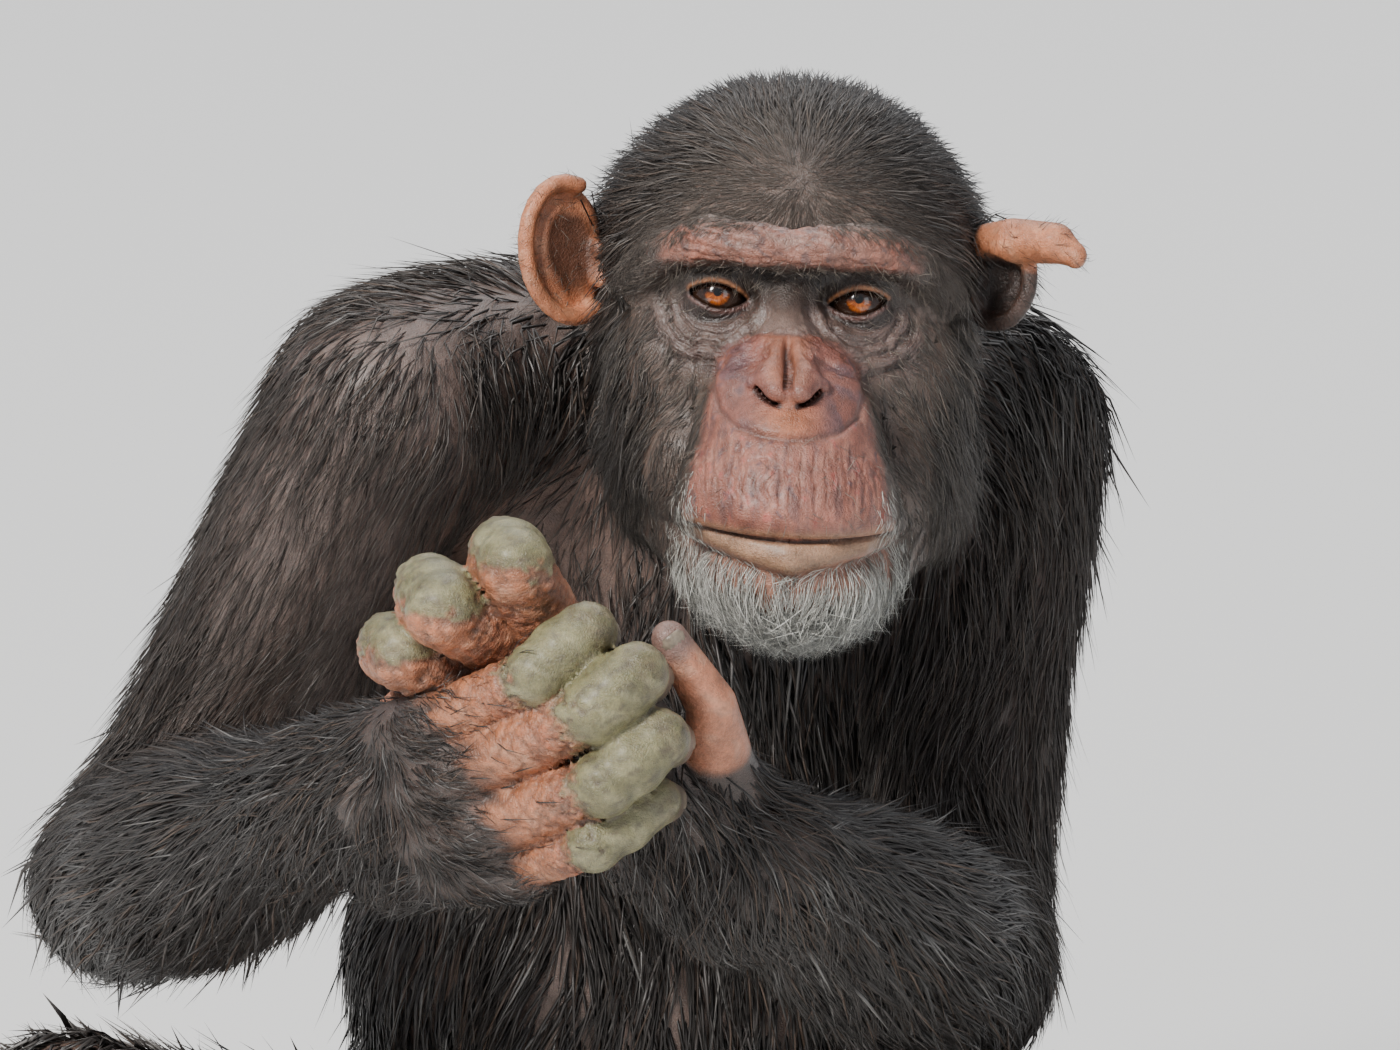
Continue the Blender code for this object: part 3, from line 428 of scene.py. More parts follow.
EYE_SPACING, EYE_RADIUS, EYE_DEPTH, EYE_HEIGHT = 59, 12.2, 12.5, 1.2
BOTH = ("right", "left")
EAR_ROOT = {"right": (-79, 74, 18), "left": (79, 74, 18)}
EAR_CUP = {"right": (21, 29, 3), "left": (15, 18, -2)}
EAR_SHELF = ((2, -2, 12), (18, -6, 17), (38, -6, 21), (48, -5, 18.5))


def mouth_height(x):
    """The height of the line of the mouth: lowest in the middle and rising to its corners."""
    return -98 + 7 * np.minimum(np.abs(x) / 52, 1.1) ** 2.2


def lip_droop(x):
    """The height of the lower lip's lower edge: a wide V under the mouth."""
    return mouth_height(x) - 12.5 + 0.25 * np.abs(x)


def between_lids(x, z):
    """How far a point lies over the upper lid's edge and under the lower's, and how far across the eye.

    Each edge is an arc, 1 less the square of the way across, that drops towards the nose.
    """
    across = (np.abs(x) - EYE_SPACING / 2) / EYE_RADIUS
    arc = np.maximum(1 - across ** 2, -0.6)
    return z - (4.7 * arc + 1.5 + 1.4 * across), (-4.8 * arc + 0.9 + 1.3 * across) - z, across


def ear_frame(which):
    """The matrix of an ear, which flares from the head and leans, and its side, -1 or 1."""
    side = -1 if which == "right" else 1
    return turned(2, -side * 32) @ turned(1, side * 12), side


def on_ear(which, point):
    """A point of the ear, out, back and up from its root in millimetres, on the head."""
    flare, side = ear_frame(which)
    return np.array(EAR_ROOT[which]) + flare @ (np.array(point, float) * (side, 1, 1))


def off_root(which, points):
    """Points on the head as millimetres out, back and up from an ear's root: on_ear undone."""
    flare, side = ear_frame(which)
    return (points - EAR_ROOT[which]) @ flare * (side, 1, 1)


def model_ear(clay, which):
    """A thin leaf of gristle with a rolled rim, hollowed to a cup, with the inner ridge and the small knob.

    The rim and the ridge are arcs round the cup's middle; the left ear's top is folded forward to a shelf.
    """
    flare, _ = ear_frame(which)
    wide, high, middle = EAR_CUP[which]
    clay.ball(on_ear(which, (wide * 0.85, 4, middle)), (wide, 4.4, high), 4, flare)
    rim = [(wide * 0.85 + math.cos(a) * wide, -1, middle + math.sin(a) * high)
           for a in np.radians(np.linspace(-115, 115, 15))]
    clay.limb([on_ear(which, p) for p in rim], 3.6, 2.5)
    if which == "left":
        clay.limb([on_ear(which, p) for p in EAR_SHELF], (8, 9.6, 8.8, 5.4), 3)
        clay.ball(on_ear(which, (50, -6, 17)), (3.6, 3.4, 3.8), 2)
    clay.limb([on_ear(which, p) for p in ((4, -2, -2), (5, -3, -12))], 3.8, 3)
    clay.ball(on_ear(which, (wide * 0.8, -6, middle)), (wide * 0.68, 7.4, high * 0.68), 2, flare, carve=True)
    ridge = [(wide * 0.8 + math.cos(a) * wide * 0.55, 1.5, middle + 2 + math.sin(a) * high * 0.55)
             for a in np.radians(np.linspace(-60, 75, 8))]
    clay.limb([on_ear(which, p) for p in ridge], 1.9, 2.2)
    clay.ball(on_ear(which, (4, -2, middle - 2)), (3.2, 4, 4.6), 2.5, flare)


def model_head():
    """The head with its neck stub: skull, muzzle, brow, sockets, lids, nose, lips and ears."""
    clay = Clay((-128, -100, -160), (140, 190, 112), 1.6, 15)
    for centre, radii in SKULL_MASSES:
        clay.ball(centre, radii, 9)
    for side in (1, -1):
        clay.limb(np.array(JAW) * (side, 1, 1), (18, 18, 19, 17), 9)
    clay.limb(((0, 70, 0), (0, 88, -16), from_head((0.052, -0.060, 0.600)),
               from_head((0.045, -0.045, 0.575))),
              (60, 62, 66, 40), 14)
    for centre, radii in MUZZLE_MASSES:
        clay.ball(centre, radii, 10)
    clay.limb(BROW, BROW_RADII, 6)
    clay.limb(NOSE_BRIDGE, (7, 7.5, 8.5, 9), 7)
    clay.limb(LOWER_LIP, (3.0, 4.0, 5.8, 7.2, 5.8, 4.0, 3.0), 4)
    clay.limb(UPPER_LIP, (7, 8, 8, 8, 8, 8, 7), 7)
    clay.ball((0, -34, -44), (21, 18, 16), 6)
    for side in (-1, 1):
        clay.ball((side * 21, -32, -42), (11, 14, 15), 7)
        clay.limb(np.array(NOSE_WING) * (side, 1, 1), (4.2, 5.6, 6.8, 5.6), 1.8)
        clay.limb(((side * 7, -53, -33), (side * 13.8, -50.0, -33.6)), (5.4, 3.6), 1.6)
    clay.limb(((0, -56, -39), (0, -56.5, -45), (0, -57, -56)), (3.0, 2.4, 2.0), 2.0)
    for side in (-1, 1):
        for (x, z), (x2, z2) in zip(NOSTRIL_SLIT, NOSTRIL_SLIT[1:]):
            for share in (0, 0.5):
                across, up = side * (x + (x2 - x) * share), z + (z2 - z) * share
                clay.limb(((across, -66, up - 1.6), (across * 0.92, -47, up + 2.6)), 1.15, 0.6, carve=True)
        clay.ball((side * 31, -1, 1), (18, 14, 11), 4, carve=True)
        clay.ball((side * EYE_SPACING / 2, EYE_DEPTH, EYE_HEIGHT), EYE_RADIUS + 2.9, 3.2)
        clay.ball((side * 30, 8, 9), (17, 9, 6), 5)
    # The opening between the lids: an almond bounded by two arcs, higher towards the nose
    cut, (x, y, z) = clay.region(np.array((-50.0, -12, -14)), np.array((50.0, 16, 14)))
    over, under, _ = between_lids(x, z)
    opening = np.maximum(np.maximum(over, under), y - EYE_DEPTH + 2)
    clay.meld(cut, opening.astype(np.float32), 0.8, carve=True)
    for side in (-1, 1):
        clay.ball((side * EYE_SPACING / 2, EYE_DEPTH, EYE_HEIGHT), EYE_RADIUS + 0.15, 0.3, carve=True)
    for which in BOTH:
        model_ear(clay, which)
    return clay


def reach_to(points, line):
    """The distance from each point to a bent line, in two or three dimensions."""
    line, best = np.asarray(line, float), None
    for a, b in zip(line, line[1:]):
        along = b - a
        t = np.clip(((points - a) @ along) / (along @ along), 0, 1)
        away = np.linalg.norm(points - a - t[:, None] * along, axis=1)
        best = away if best is None else np.minimum(best, away)
    return best


# Folds of the face, as seen from in front: under each eye, round the nose pad, and over the lip
NOSE_PAD_TOP = both_sides(((0, -12), (6, -12.5), (15, -14.5), (25, -19.5), (31, -27)))
NOSE_LIP_FOLD = both_sides(((0, -56.5), (11, -55.5), (22, -52.5), (29.5, -46), (32, -36), (31.5, -27)))
BRIDGE_CREASES = (((-7, -3), (-9.5, -8), (-15, -13)), ((7, -3), (9.5, -8), (15, -13)))
# The muzzle's bare skin: its half-width by height, from the nose's top to the mouth
MUZZLE_HALF = ((-99, 44.5), (-92, 44), (-80, 41.5), (-66, 38.5), (-56, 36), (-46, 34), (-36, 32.5),
               (-28, 31), (-20, 27), (-15, 18), (-12, 4))
# The nose pad's lower edge: its height by the reach from the middle
PAD_FOLD = ((0, -56.5), (11, -55.5), (22, -52.5), (29.5, -46), (33, -37), (45, -34))


def face_marks(head):
    """For points on the head in millimetres: the height of its folds, and the masks of its zones.

    Each fold is a bell curve of the distance to its line: rings round the eyes, lines on the nose and
    bridge, and for the lip a high power of a cosine across it; noise bends them and varies their depth.
    """
    x, y, z = head.T
    wide, flat = np.abs(x), head[:, (0, 2)]
    front = fade(y, 48, 24)
    ring = np.hypot((x - np.where(x < 0, -1.0, 1.0) * 30.5) * 0.94, z + 0.5)
    below = fade(z, 1, -7) * fade(wide, 3.5, 10) * fade(wide, 64, 52) * fade(ring, 37, 30) * front
    below *= fade(z, -34, -27)
    below *= 0.75 + 0.35 * swirl(head, 13, 27)
    wobble = swirl(head, 20, 3) * 2.0 + swirl(head, 7, 30) * 0.5
    rise = below * (0.9 * bell(ring, 12.2 + wobble * 0.3, 1.6) - 1.3 * bell(ring, 15.2 + wobble * 0.6, 1.1)
                    + 1.1 * bell(ring, 17.8 + wobble, 1.4) - 1.4 * bell(ring, 20.4 + wobble, 1.1)
                    + 1.7 * bell(ring, 24.2 + wobble, 2.4) - 1.9 * bell(ring, 28.4 + wobble, 1.6))
    fold = bell(reach_to(flat, NOSE_LIP_FOLD), 0, 1.5) * front * fade(z, -24, -34)
    pad_rim = bell(reach_to(flat, NOSE_PAD_TOP), 0, 1.4) * front
    rise -= 1.5 * fold + 1.1 * pad_rim
    rise -= 3.2 * bell(x, 0.3 * np.sin(z * 0.4), 1.35) * fade(z, -38, -34) * fade(z, -13, -19) * front
    for crease in BRIDGE_CREASES:
        rise -= 1.0 * bell(reach_to(flat, crease), 0, 1.3) * front
    lip = fade(wide, 46, 39) * fade(z, -56, -64) * fade(z, -94, -78) * fade(y, 20, -5)
    waver = 0.55 * swirl(head, 30, 5) + 0.30 * swirl(head * (1, 1, 0.25), 10, 6)
    deep = 0.45 + 0.55 * swirl(head * (1, 1, 0.4), 20, 19)
    across = np.cos(math.pi * (x * (1 + 0.0015 * (z + 90)) / 5.6 + waver))
    rise += lip * (0.30 - 0.70 * np.clip(deep, 0, 1) * np.abs(across) ** 9)
    rise -= lip * 0.35 * np.clip(swirl(head * (1.0, 1, 0.35), 4.2, 29), 0.2, 1)
    around = fade(wide, 46, 41) * fade(y, 20, -5)
    lip_edge = bell(z, mouth_height(x) + 2.6, 1.6) * around
    rise += (0.45 * lip_edge - 2.8 * bell(z, mouth_height(x), 0.8)) * around
    brow = fade(reach_to(head, BROW), 17, 11) * fade(z, 6, 12) * front
    rise += brow * (0.45 * swirl(head * (0.5, 1, 1.5), 8, 8) + 0.30 * swirl(head * (0.6, 1, 1.4), 3.6, 18))
    rise += fade(np.abs(x + 42), 12, 6) * brow * 0.8 * np.clip(swirl(head, 7, 28), 0, 1)
    rise += fade(z, 24, 34) * front * 0.25 * swirl(head * (0.3, 0.5, 1.6), 12, 9)
    return rise, {"ring": ring, "below": below, "lip": lip, "fold": fold, "pad_rim": pad_rim, "brow": brow,
                  "front": front, "lip_edge": lip_edge}


def painted(tone, *layers):
    """Lays colours over the tones in turn: each layer is a colour, and its share at every point."""
    for colour, share in layers:
        tone = tone + (np.array(colour) - tone) * np.clip(share, 0, 1)[:, None]
    return tone


def head_tones(head, marks):
    """The colours of the head's skin: dark under the coat, red-brown on the nose and lip, tan on the ears.

    Each zone is a product of fades across the head, and noise breaks it into patches. Some zones are painted
    shade, in whole or in part: the band under the brow, the dark round the eyes, the ears' hollows and the
    left ear below its shelf.
    """
    x, y, z = head.T
    wide, front, brow, below = np.abs(x), marks["front"], marks["brow"], marks["below"]
    mottle, patch = swirl(head, 30, 11), swirl(head, 11, 12)
    ridge = brow * fade(z, 12, 17) * fade(z + 0.10 * wide, 37, 30) * fade(wide, 58, 46)
    painted_brow_shadow = fade(z, 17, 11) * fade(z, -10, -2) * fade(wide, 58, 40) * front
    tone = painted(
        np.tile((0.060, 0.041, 0.033), (len(head), 1)),
        ((0.150, 0.100, 0.078), fade(z, 16, 34) * fade(y, 70, 30) * (0.9 + 0.2 * mottle)),
        ((0.085, 0.058, 0.046), bell(np.hypot(x - 4, z - 60), 0, 26) * fade(y, 60, 20)),
        ((0.095, 0.063, 0.048), fade(z, 8, -6) * fade(y, 60, 30)),
        ((0.255, 0.112, 0.080), ridge * 0.95),
        ((0.36, 0.125, 0.080), ridge * fade(wide, 28, 46) * fade(patch, -0.3, 0.6) * 0.7),
        ((0.34, 0.23, 0.19), ridge * fade(patch, 0.1, 0.8) * fade(wide, 34, 10) * 0.45),
        ((0.10, 0.062, 0.060), ridge * fade(swirl(head, 7, 13), 0.25, 0.9) * 0.7),
        # Painted shade: a near-black band from the brow down to the eyes, for the shadow under the brow
        ((0.030, 0.020, 0.016), painted_brow_shadow * 0.9),
        ((0.125, 0.085, 0.074), below * 0.95),
        ((0.055, 0.036, 0.030), below * bell(marks["ring"], 28.5, 2.5) * 0.8),
        ((0.24, 0.165, 0.140), fade(wide, 17, 8) * bell(z, -11, 8) * front * 0.8),
    )
    mouth, droop = mouth_height(x), lip_droop(x)
    half = np.interp(z, *np.transpose(MUZZLE_HALF)) + 0.8 * patch
    muzzle = fade(wide - half, 1.6, -1.6) * fade(z, -11.5, -15) * fade(z, mouth - 2, mouth + 1)
    muzzle *= fade(y, 30, 12)
    fold_height = np.interp(wide, *np.transpose(PAD_FOLD))
    pad = muzzle * fade(z, fold_height - 1.2, fold_height + 1.2)
    lip = muzzle * fade(z, fold_height + 1.2, fold_height - 1.2)
    lower = fade(wide, 46, 40) * fade(z, mouth + 1, mouth - 1.5) * fade(y, 15, -5)
    slit = reach_to(np.stack((wide, z), -1), NOSTRIL_SLIT)
    philtrum = bell(x, 0, 1.3) * fade(z, -38, -33) * fade(z, -15, -20) * front
    tone = painted(
        tone,
        ((0.210, 0.080, 0.060), pad),
        ((0.33, 0.150, 0.112), pad * fade(patch + 0.4 * mottle, 0.0, 0.8) * 0.5),
        ((0.120, 0.064, 0.068), pad * fade(mottle + 0.5 * patch, -0.4, 0.4) * fade(wide, 10, 20) * 0.85),
        ((0.42, 0.135, 0.052), pad * bell(np.hypot(x, (z + 49) * 1.4), 0, 11) * 0.8),
        ((0.31, 0.115, 0.062), pad * fade(wide, 12, 5) * fade(z, -38, -30) * 0.7),
        ((0.265, 0.102, 0.072), lip),
        ((0.39, 0.185, 0.135), lip * fade(swirl(head * (1.6, 1, 0.4), 11, 14), 0.1, 0.9) * 0.6),
        ((0.145, 0.070, 0.062), lip * fade(swirl(head * (1.4, 1, 0.5), 9, 15), 0.1, 0.9) * 0.65),
        ((0.40, 0.085, 0.070), lip * fade(swirl(head, 8, 16), 0.6, 1.2) * 0.5),
        ((0.13, 0.075, 0.080), lip * fade(swirl(head, 6, 17), 0.75, 1.2) * 0.75),
        ((0.30, 0.17, 0.09), marks["lip_edge"] * 0.6),
        ((0.30, 0.150, 0.105), lower * fade(z, -138, -128)),
        ((0.33, 0.190, 0.115), lower * fade(z, droop - 1.5, droop + 1.5)),
        ((0.20, 0.120, 0.070), lower * bell(z, droop, 1.6) * 0.6),
        ((0.045, 0.018, 0.014), bell(z, mouth, 0.8) * fade(wide, 44.5, 42) * fade(y, 15, 0) * 0.95),
        ((0.035, 0.012, 0.009), fade(slit, 2.0, 0.9) * fade(y, -30, -44) * 0.95),
        ((0.085, 0.034, 0.026), philtrum * 0.8),
        ((0.16, 0.09, 0.075), (marks["fold"] + marks["pad_rim"]) * 0.45),
    )
    # Lids: near-black round the eye, partly the lids' own dark skin and partly painted shade of the socket; a
    # tan rim over the eye, and a dark wet rim under it
    eye = np.stack((np.where(x < 0, -1.0, 1.0) * EYE_SPACING / 2, EYE_DEPTH + 0 * x, EYE_HEIGHT + 0 * x), -1)
    over, under, across = between_lids(x, z)
    lid = fade(np.linalg.norm(head - eye, axis=1), 17.5, 15.6) * front * fade(np.abs(across), 1.30, 1.10)
    tone = painted(
        tone,
        ((0.030, 0.019, 0.016), lid),
        ((0.36, 0.150, 0.062), lid * bell(over, 1.5, 1.0) * fade(over + under, 2.0, -1.0)),
        ((0.12, 0.060, 0.050), lid * bell(under, 1.6, 0.9) * fade(z, 2, -1)),
    )
    for which in BOTH:
        out, back, up = off_root(which, head).T
        _, side = ear_frame(which)
        cup, high, middle = EAR_CUP[which]
        is_ear = fade(out, -1, 5) * fade(x * side, 74, 79)
        hollow = np.hypot((out - cup * 0.8) / (cup * 0.72), (up - middle) / (high * 0.72))
        tone = painted(
            tone,
            ((0.47, 0.175, 0.085), is_ear),
            ((0.56, 0.28, 0.165), is_ear * fade(patch, 0.0, 1.0) * 0.5),
            # Painted shade: the cup's hollow darkened, for the shade inside it
            ((0.075, 0.032, 0.020), is_ear * fade(hollow, 1.10, 0.6) * 0.9),
            # Painted shade: the left ear near-black below its folded shelf, for the shelf's shadow
            ((0.030, 0.020, 0.017), is_ear * fade(up, 9, 5) * (0.96 if which == "left" else 0)),
            ((0.16, 0.10, 0.08), is_ear * fade(back, 5, 8) * 0.8),
        )
    return tone


# Hands and feet, in metres. Fingers: knuckle, second joint, third joint and tip, and the finger's radius
WRIST = {"right": np.array((-0.123, -0.310, 0.465)), "left": np.array((0.052, -0.350, 0.452))}
ELBOW = {"right": np.array((-0.224, -0.100, 0.359)), "left": np.array((0.138, -0.150, 0.337))}
FINGER_LINES = {
    "right": (
        ((-0.077, -0.385, 0.521), (-0.036, -0.415, 0.552), (-0.016, -0.408, 0.568), (-0.013, -0.384, 0.558)),
        ((-0.067, -0.395, 0.504), (-0.013, -0.427, 0.540), (0.004, -0.421, 0.554), (0.008, -0.396, 0.544)),
        ((-0.055, -0.400, 0.484), (-0.009, -0.432, 0.511), (0.013, -0.425, 0.528), (0.017, -0.400, 0.518)),
        ((-0.043, -0.395, 0.466), (-0.013, -0.427, 0.484), (0.011, -0.417, 0.499), (0.015, -0.394, 0.491)),
    ),
    "left": (
        ((-0.026, -0.368, 0.545), (-0.045, -0.394, 0.591), (-0.051, -0.363, 0.588), (-0.045, -0.345, 0.574)),
        ((-0.014, -0.350, 0.525), (-0.074, -0.393, 0.572), (-0.081, -0.363, 0.572), (-0.074, -0.345, 0.558)),
        ((-0.022, -0.348, 0.503), (-0.092, -0.379, 0.549), (-0.098, -0.354, 0.546), (-0.091, -0.341, 0.535)),
        ((-0.024, -0.345, 0.482), (-0.080, -0.352, 0.524), (-0.089, -0.334, 0.522), (-0.082, -0.324, 0.512)),
    ),
}
FINGER_RADII = {"right": (0.0130, 0.0138, 0.0133, 0.0112), "left": (0.0154, 0.0158, 0.0142, 0.0110)}
FINGERS = {which: [(*line, radius) for line, radius in zip(FINGER_LINES[which], FINGER_RADII[which])]
           for which in BOTH}
THUMB = {
    "right": ((-0.108, -0.33, 0.49), (-0.086, -0.328, 0.515), (-0.07, -0.322, 0.532),
              (0.014, 0.0105, 0.0085)),
    "left": ((0.037, -0.368, 0.5), (0.034, -0.386, 0.53), (0.017, -0.392, 0.56), (0.0145, 0.0105, 0.0075)),
}
PALM, FOREARM, WRIST_RADIUS = 0.0165, 0.045, 0.028
UNDER_PAD, PAD_START = {"right": 0.93, "left": 1.02}, {"right": 0.80, "left": 0.78}
PAD_BOTTOM = {"right": -0.1, "left": 0.0005}


def refine(places, faces, fine):
    """Splits each four-sided face whose corners are all fine into a fan of eight triangles round its middle.

    Its neighbours become fans that meet it edge to edge, and the other faces two triangles each.
    """
    chosen = fine[faces].all(1)
    after = np.roll(faces, -1, axis=1)
    code = np.minimum(faces, after).astype(np.int64) * len(places) + np.maximum(faces, after)
    split = np.unique(code[chosen])
    order = np.minimum(np.searchsorted(split, code), len(split) - 1)
    halved = split[order] == code
    touched = halved.any(1)
    middles = (places[split // len(places)] + places[split % len(places)]) / 2
    ring = np.stack((faces, np.where(halved, len(places) + order, faces)), -1)[touched].reshape(-1, 8)
    centre = np.broadcast_to(len(places) + len(split) + np.arange(len(ring))[:, None], ring.shape)
    fans = np.stack((centre, ring, np.roll(ring, -1, axis=1)), -1).reshape(-1, 3)
    rest = faces[~touched]
    return (np.concatenate((places, middles, places[faces[touched]].mean(1))),
            np.concatenate((fans[fans[:, 1] != fans[:, 2]], rest[:, (0, 1, 2)], rest[:, (0, 2, 3)])))


def thin_out(places, faces, size, covered):
    """Draws the covered corners in each cell of that size together into their mean; drops faces left flat."""
    cell = np.floor(places / size).astype(np.int64) + 1000
    code = np.where(covered, (cell[:, 0] * 4000 + cell[:, 1]) * 4000 + cell[:, 2],
                    -1 - np.arange(len(places)))
    _, number = np.unique(code, return_inverse=True)
    count = np.bincount(number)
    merged = np.stack([np.bincount(number, places[:, i]) / count for i in range(3)], -1)
    faces = number[faces]
    whole = (faces[:, 0] != faces[:, 1]) & (faces[:, 1] != faces[:, 2]) & (faces[:, 2] != faces[:, 0])
    return merged, faces[whole]


def model_hand(which):
    """Palm bones fanned from the wrist, four bent fingers with padded middle lengths, and the thumb."""
    wrist, elbow = WRIST[which], ELBOW[which]
    knuckles = np.array([finger[0] for finger in FINGERS[which]])
    joints = np.array([finger[i] for finger in FINGERS[which] for i in range(4)] + [wrist, *THUMB[which][:3]])
    around = 0.065
    clay = Clay(joints.min(0) - around, joints.max(0) + around, 0.0021, 0.012)
    for knuckle in knuckles:
        spread = wrist + (knuckle - wrist) * 0.12 + (knuckle - knuckles[1]) * 0.6
        clay.limb((spread, knuckle), (PALM * 1.1, PALM * 0.92), 0.006)
    for knuckle, second, third, tip, radius in FINGERS[which]:
        knuckle, second, third = np.array(knuckle), np.array(second), np.array(third)
        clay.limb((knuckle, knuckle * 0.12 + second * 0.88, second, third, tip),
                  radius * np.array((1.02, UNDER_PAD[which], 0.95, 0.97, 0.76)), 0.0009)
        clay.ball((second + third) / 2, radius * 1.10, 0.0022)
        clay.ball(second, radius * 1.03, 0.0018)
    base, middle, tip, radii = THUMB[which]
    clay.limb((wrist * 0.5 + np.array(base) * 0.5, base, middle, tip), (0.016, *radii), 0.0025)
    clay.limb((wrist, wrist + (knuckles[1] - wrist) * 0.4), (WRIST_RADIUS, WRIST_RADIUS * 0.9), 0.006)
    up = wrist + (elbow - wrist) * np.array((0.0, 0.12, 0.24, 0.32))[:, None]
    clay.limb(up, WRIST_RADIUS * np.array((1, 1.07, 1.12, 0.6)), 0.008)
    return clay


def thumb_line(which):
    """The bare length of a thumb, from half way up its first bone to the tip."""
    base, middle, tip, _ = (np.array(part) for part in THUMB[which])
    return base * 0.6 + middle * 0.4, middle, tip


def on_finger(which, places):
    """Where each point lies by the finger nearest to it: how far off the skin, the joint passed and the share
    of the way to the next, metres along the finger, metres across it, and metres above its second joint."""
    off = np.full(len(places), 1.0)
    found = np.zeros((4, len(places)))
    for knuckle, second, third, tip, radius in FINGERS[which]:
        line = np.array((knuckle, second, third, tip))
        passed = 0.0
        for number, (a, b) in enumerate(zip(line, line[1:])):
            way = b - a
            size = np.linalg.norm(way)
            t = np.clip((places - a) @ way / size ** 2, 0, 1)
            away = np.linalg.norm(places - a - t[:, None] * way, axis=1) - radius
            across = (places - a) @ np.cross(way / size, (0.0, 1.0, 0.0))
            here = (number + t, passed + (places - a) @ way / size, across, places[:, 2] - second[2])
            found = np.where(away < off, here, found)
            off = np.minimum(off, away)
            passed += size
    return (off, *found)


def hand_marks(which, places):
    """For points on a hand: the height of its creases, its tones and masks, and the length along the finger.

    The pads of horny skin start at PAD_START of the way to the second joint, above PAD_BOTTOM; creases are
    bell curves round that edge, and fine lines are two sine waves that cross over the finger.
    """
    patch, small = swirl(places * 1000, 14, 21), swirl(places * 1000, 8, 24)
    off, along, length, sideways, above = on_finger(which, places)
    start = PAD_START[which]
    finger = fade(off, 0.007, 0.002)
    limit = along + 0.06 * small + 0.05 * patch
    brim = above + 0.0035 * patch + 0.0015 * small - PAD_BOTTOM[which]
    pads = finger * fade(limit, start, start + 0.12)
    pads *= fade(brim, 0, 0.003)
    thumb = fade(reach_to(places, thumb_line(which)), 0.0165, 0.0130)
    nail_end = np.linalg.norm(places - thumb_line(which)[2], axis=1)
    crease = finger * (bell(limit, start, 0.034) + 0.9 * bell(limit, start + 0.10, 0.026)
                       + 0.5 * bell(limit, start - 0.10, 0.025) + 0.5 * bell(limit, start - 0.19, 0.02)
                       + 0.5 * bell(limit, 2.0, 0.05) + 0.9 * bell(brim, 0, 0.0013)
                       + 0.6 * bell(brim, 0.005, 0.0012))
    bend = swirl(places * 1000, 30, 26) * 1.3 + small * 0.25

    def crossed(first, second, width):
        """1 on the lines where either of the two waves, each moved on by its own amount, passes 0."""
        return np.maximum(bell(np.sin(length * 300 + sideways * 240 + bend + first), 0, width),
                          bell(np.sin(length * 260 - sideways * 300 - bend + second), 0, width))

    folded = crossed(0, 0, 0.30) * finger * fade(along, 0.15, 0.35) * (1 - pads)
    pale = crossed(0.8, 0.9, 0.22) * finger * fade(along, 0.15, 0.35) * (1 - pads)
    tone = painted(
        np.tile((0.062, 0.043, 0.036), (len(places), 1)),
        ((0.37, 0.135, 0.062), finger * fade(along + 0.10 * patch, 0.05, 0.42)),
        ((0.40, 0.115, 0.055), finger * bell(along, 0.80, 0.20) * fade(patch, -0.6, 0.5) * 0.6),
        ((0.44, 0.24, 0.150), finger * fade(along, 0.1, 0.5) * fade(patch, 0.1, 0.9) * 0.5),
        ((0.13, 0.075, 0.062), finger * fade(along, 0.1, 0.5) * fade(small, 0.6, 1.2) * 0.3),
        ((0.178, 0.162, 0.080), pads),
        ((0.28, 0.258, 0.150), pads * fade(patch, 0.0, 0.9) * 0.6),
        ((0.095, 0.078, 0.050), pads * fade(swirl(places * 1000, 7, 25), 0.2, 0.9) * 0.7),
        ((0.13, 0.095, 0.068), pads * fade(along, 2.05, 2.35)),
        ((0.46, 0.185, 0.105), thumb * (1 - finger)),
        ((0.50, 0.30, 0.21), thumb * (1 - finger) * fade(patch, 0.2, 0.9) * 0.4),
        ((0.16, 0.12, 0.11), thumb * (1 - finger) * fade(nail_end, 0.014, 0.008) * 0.8),
        ((0.10, 0.062, 0.045), np.clip(crease, 0, 1) * 0.75),
        ((0.50, 0.32, 0.23), pale * 0.2),
        ((0.16, 0.072, 0.045), folded * 0.55),
    )
    rise = -0.0015 * crease - 0.0006 * folded + 0.0002 * (1 - pads) * finger * small
    bare = np.clip(finger + thumb, 0, 1)
    wrinkle = finger * 0.25 * fade(along, 0.05, 0.3) * (1 - pads)
    return rise, tone, np.stack((0 * length, wrinkle, 0.18 * bare * (1 - pads), bare), -1), length * 1000


# The limbs and trunk under the coat
SHOULDER = {"right": np.array((-0.106, -0.130, 0.583)), "left": np.array((0.153, 0.000, 0.536))}
HIP = {"right": np.array((-0.072, 0.015, 0.118)), "left": np.array((0.078, 0.000, 0.118))}
KNEE = {"right": np.array((-0.245, -0.180, 0.262)), "left": np.array((0.230, -0.220, 0.240))}
ANKLE = {"right": np.array((-0.200, -0.290, 0.070)), "left": np.array((0.190, -0.320, 0.070))}
TOES = {"right": np.array((-0.238, -0.440, 0.0)), "left": np.array((0.222, -0.472, 0.0))}
# The four lengths of the limbs: their ends, and the radius past which the coat of the next one starts
LIMBS = {"upper_": (SHOULDER, ELBOW, 0.044), "fore_": (ELBOW, WRIST, 0.042),
         "thigh_": (HIP, KNEE, 0.062), "shank_": (KNEE, ANKLE, 0.040)}
DELTOID, UPPER_ARM, ELBOW_RADIUS = 0.050, 0.040, 0.037
THIGH, KNEE_RADIUS, SHANK, ANKLE_RADIUS = 0.072, 0.046, 0.041, 0.027
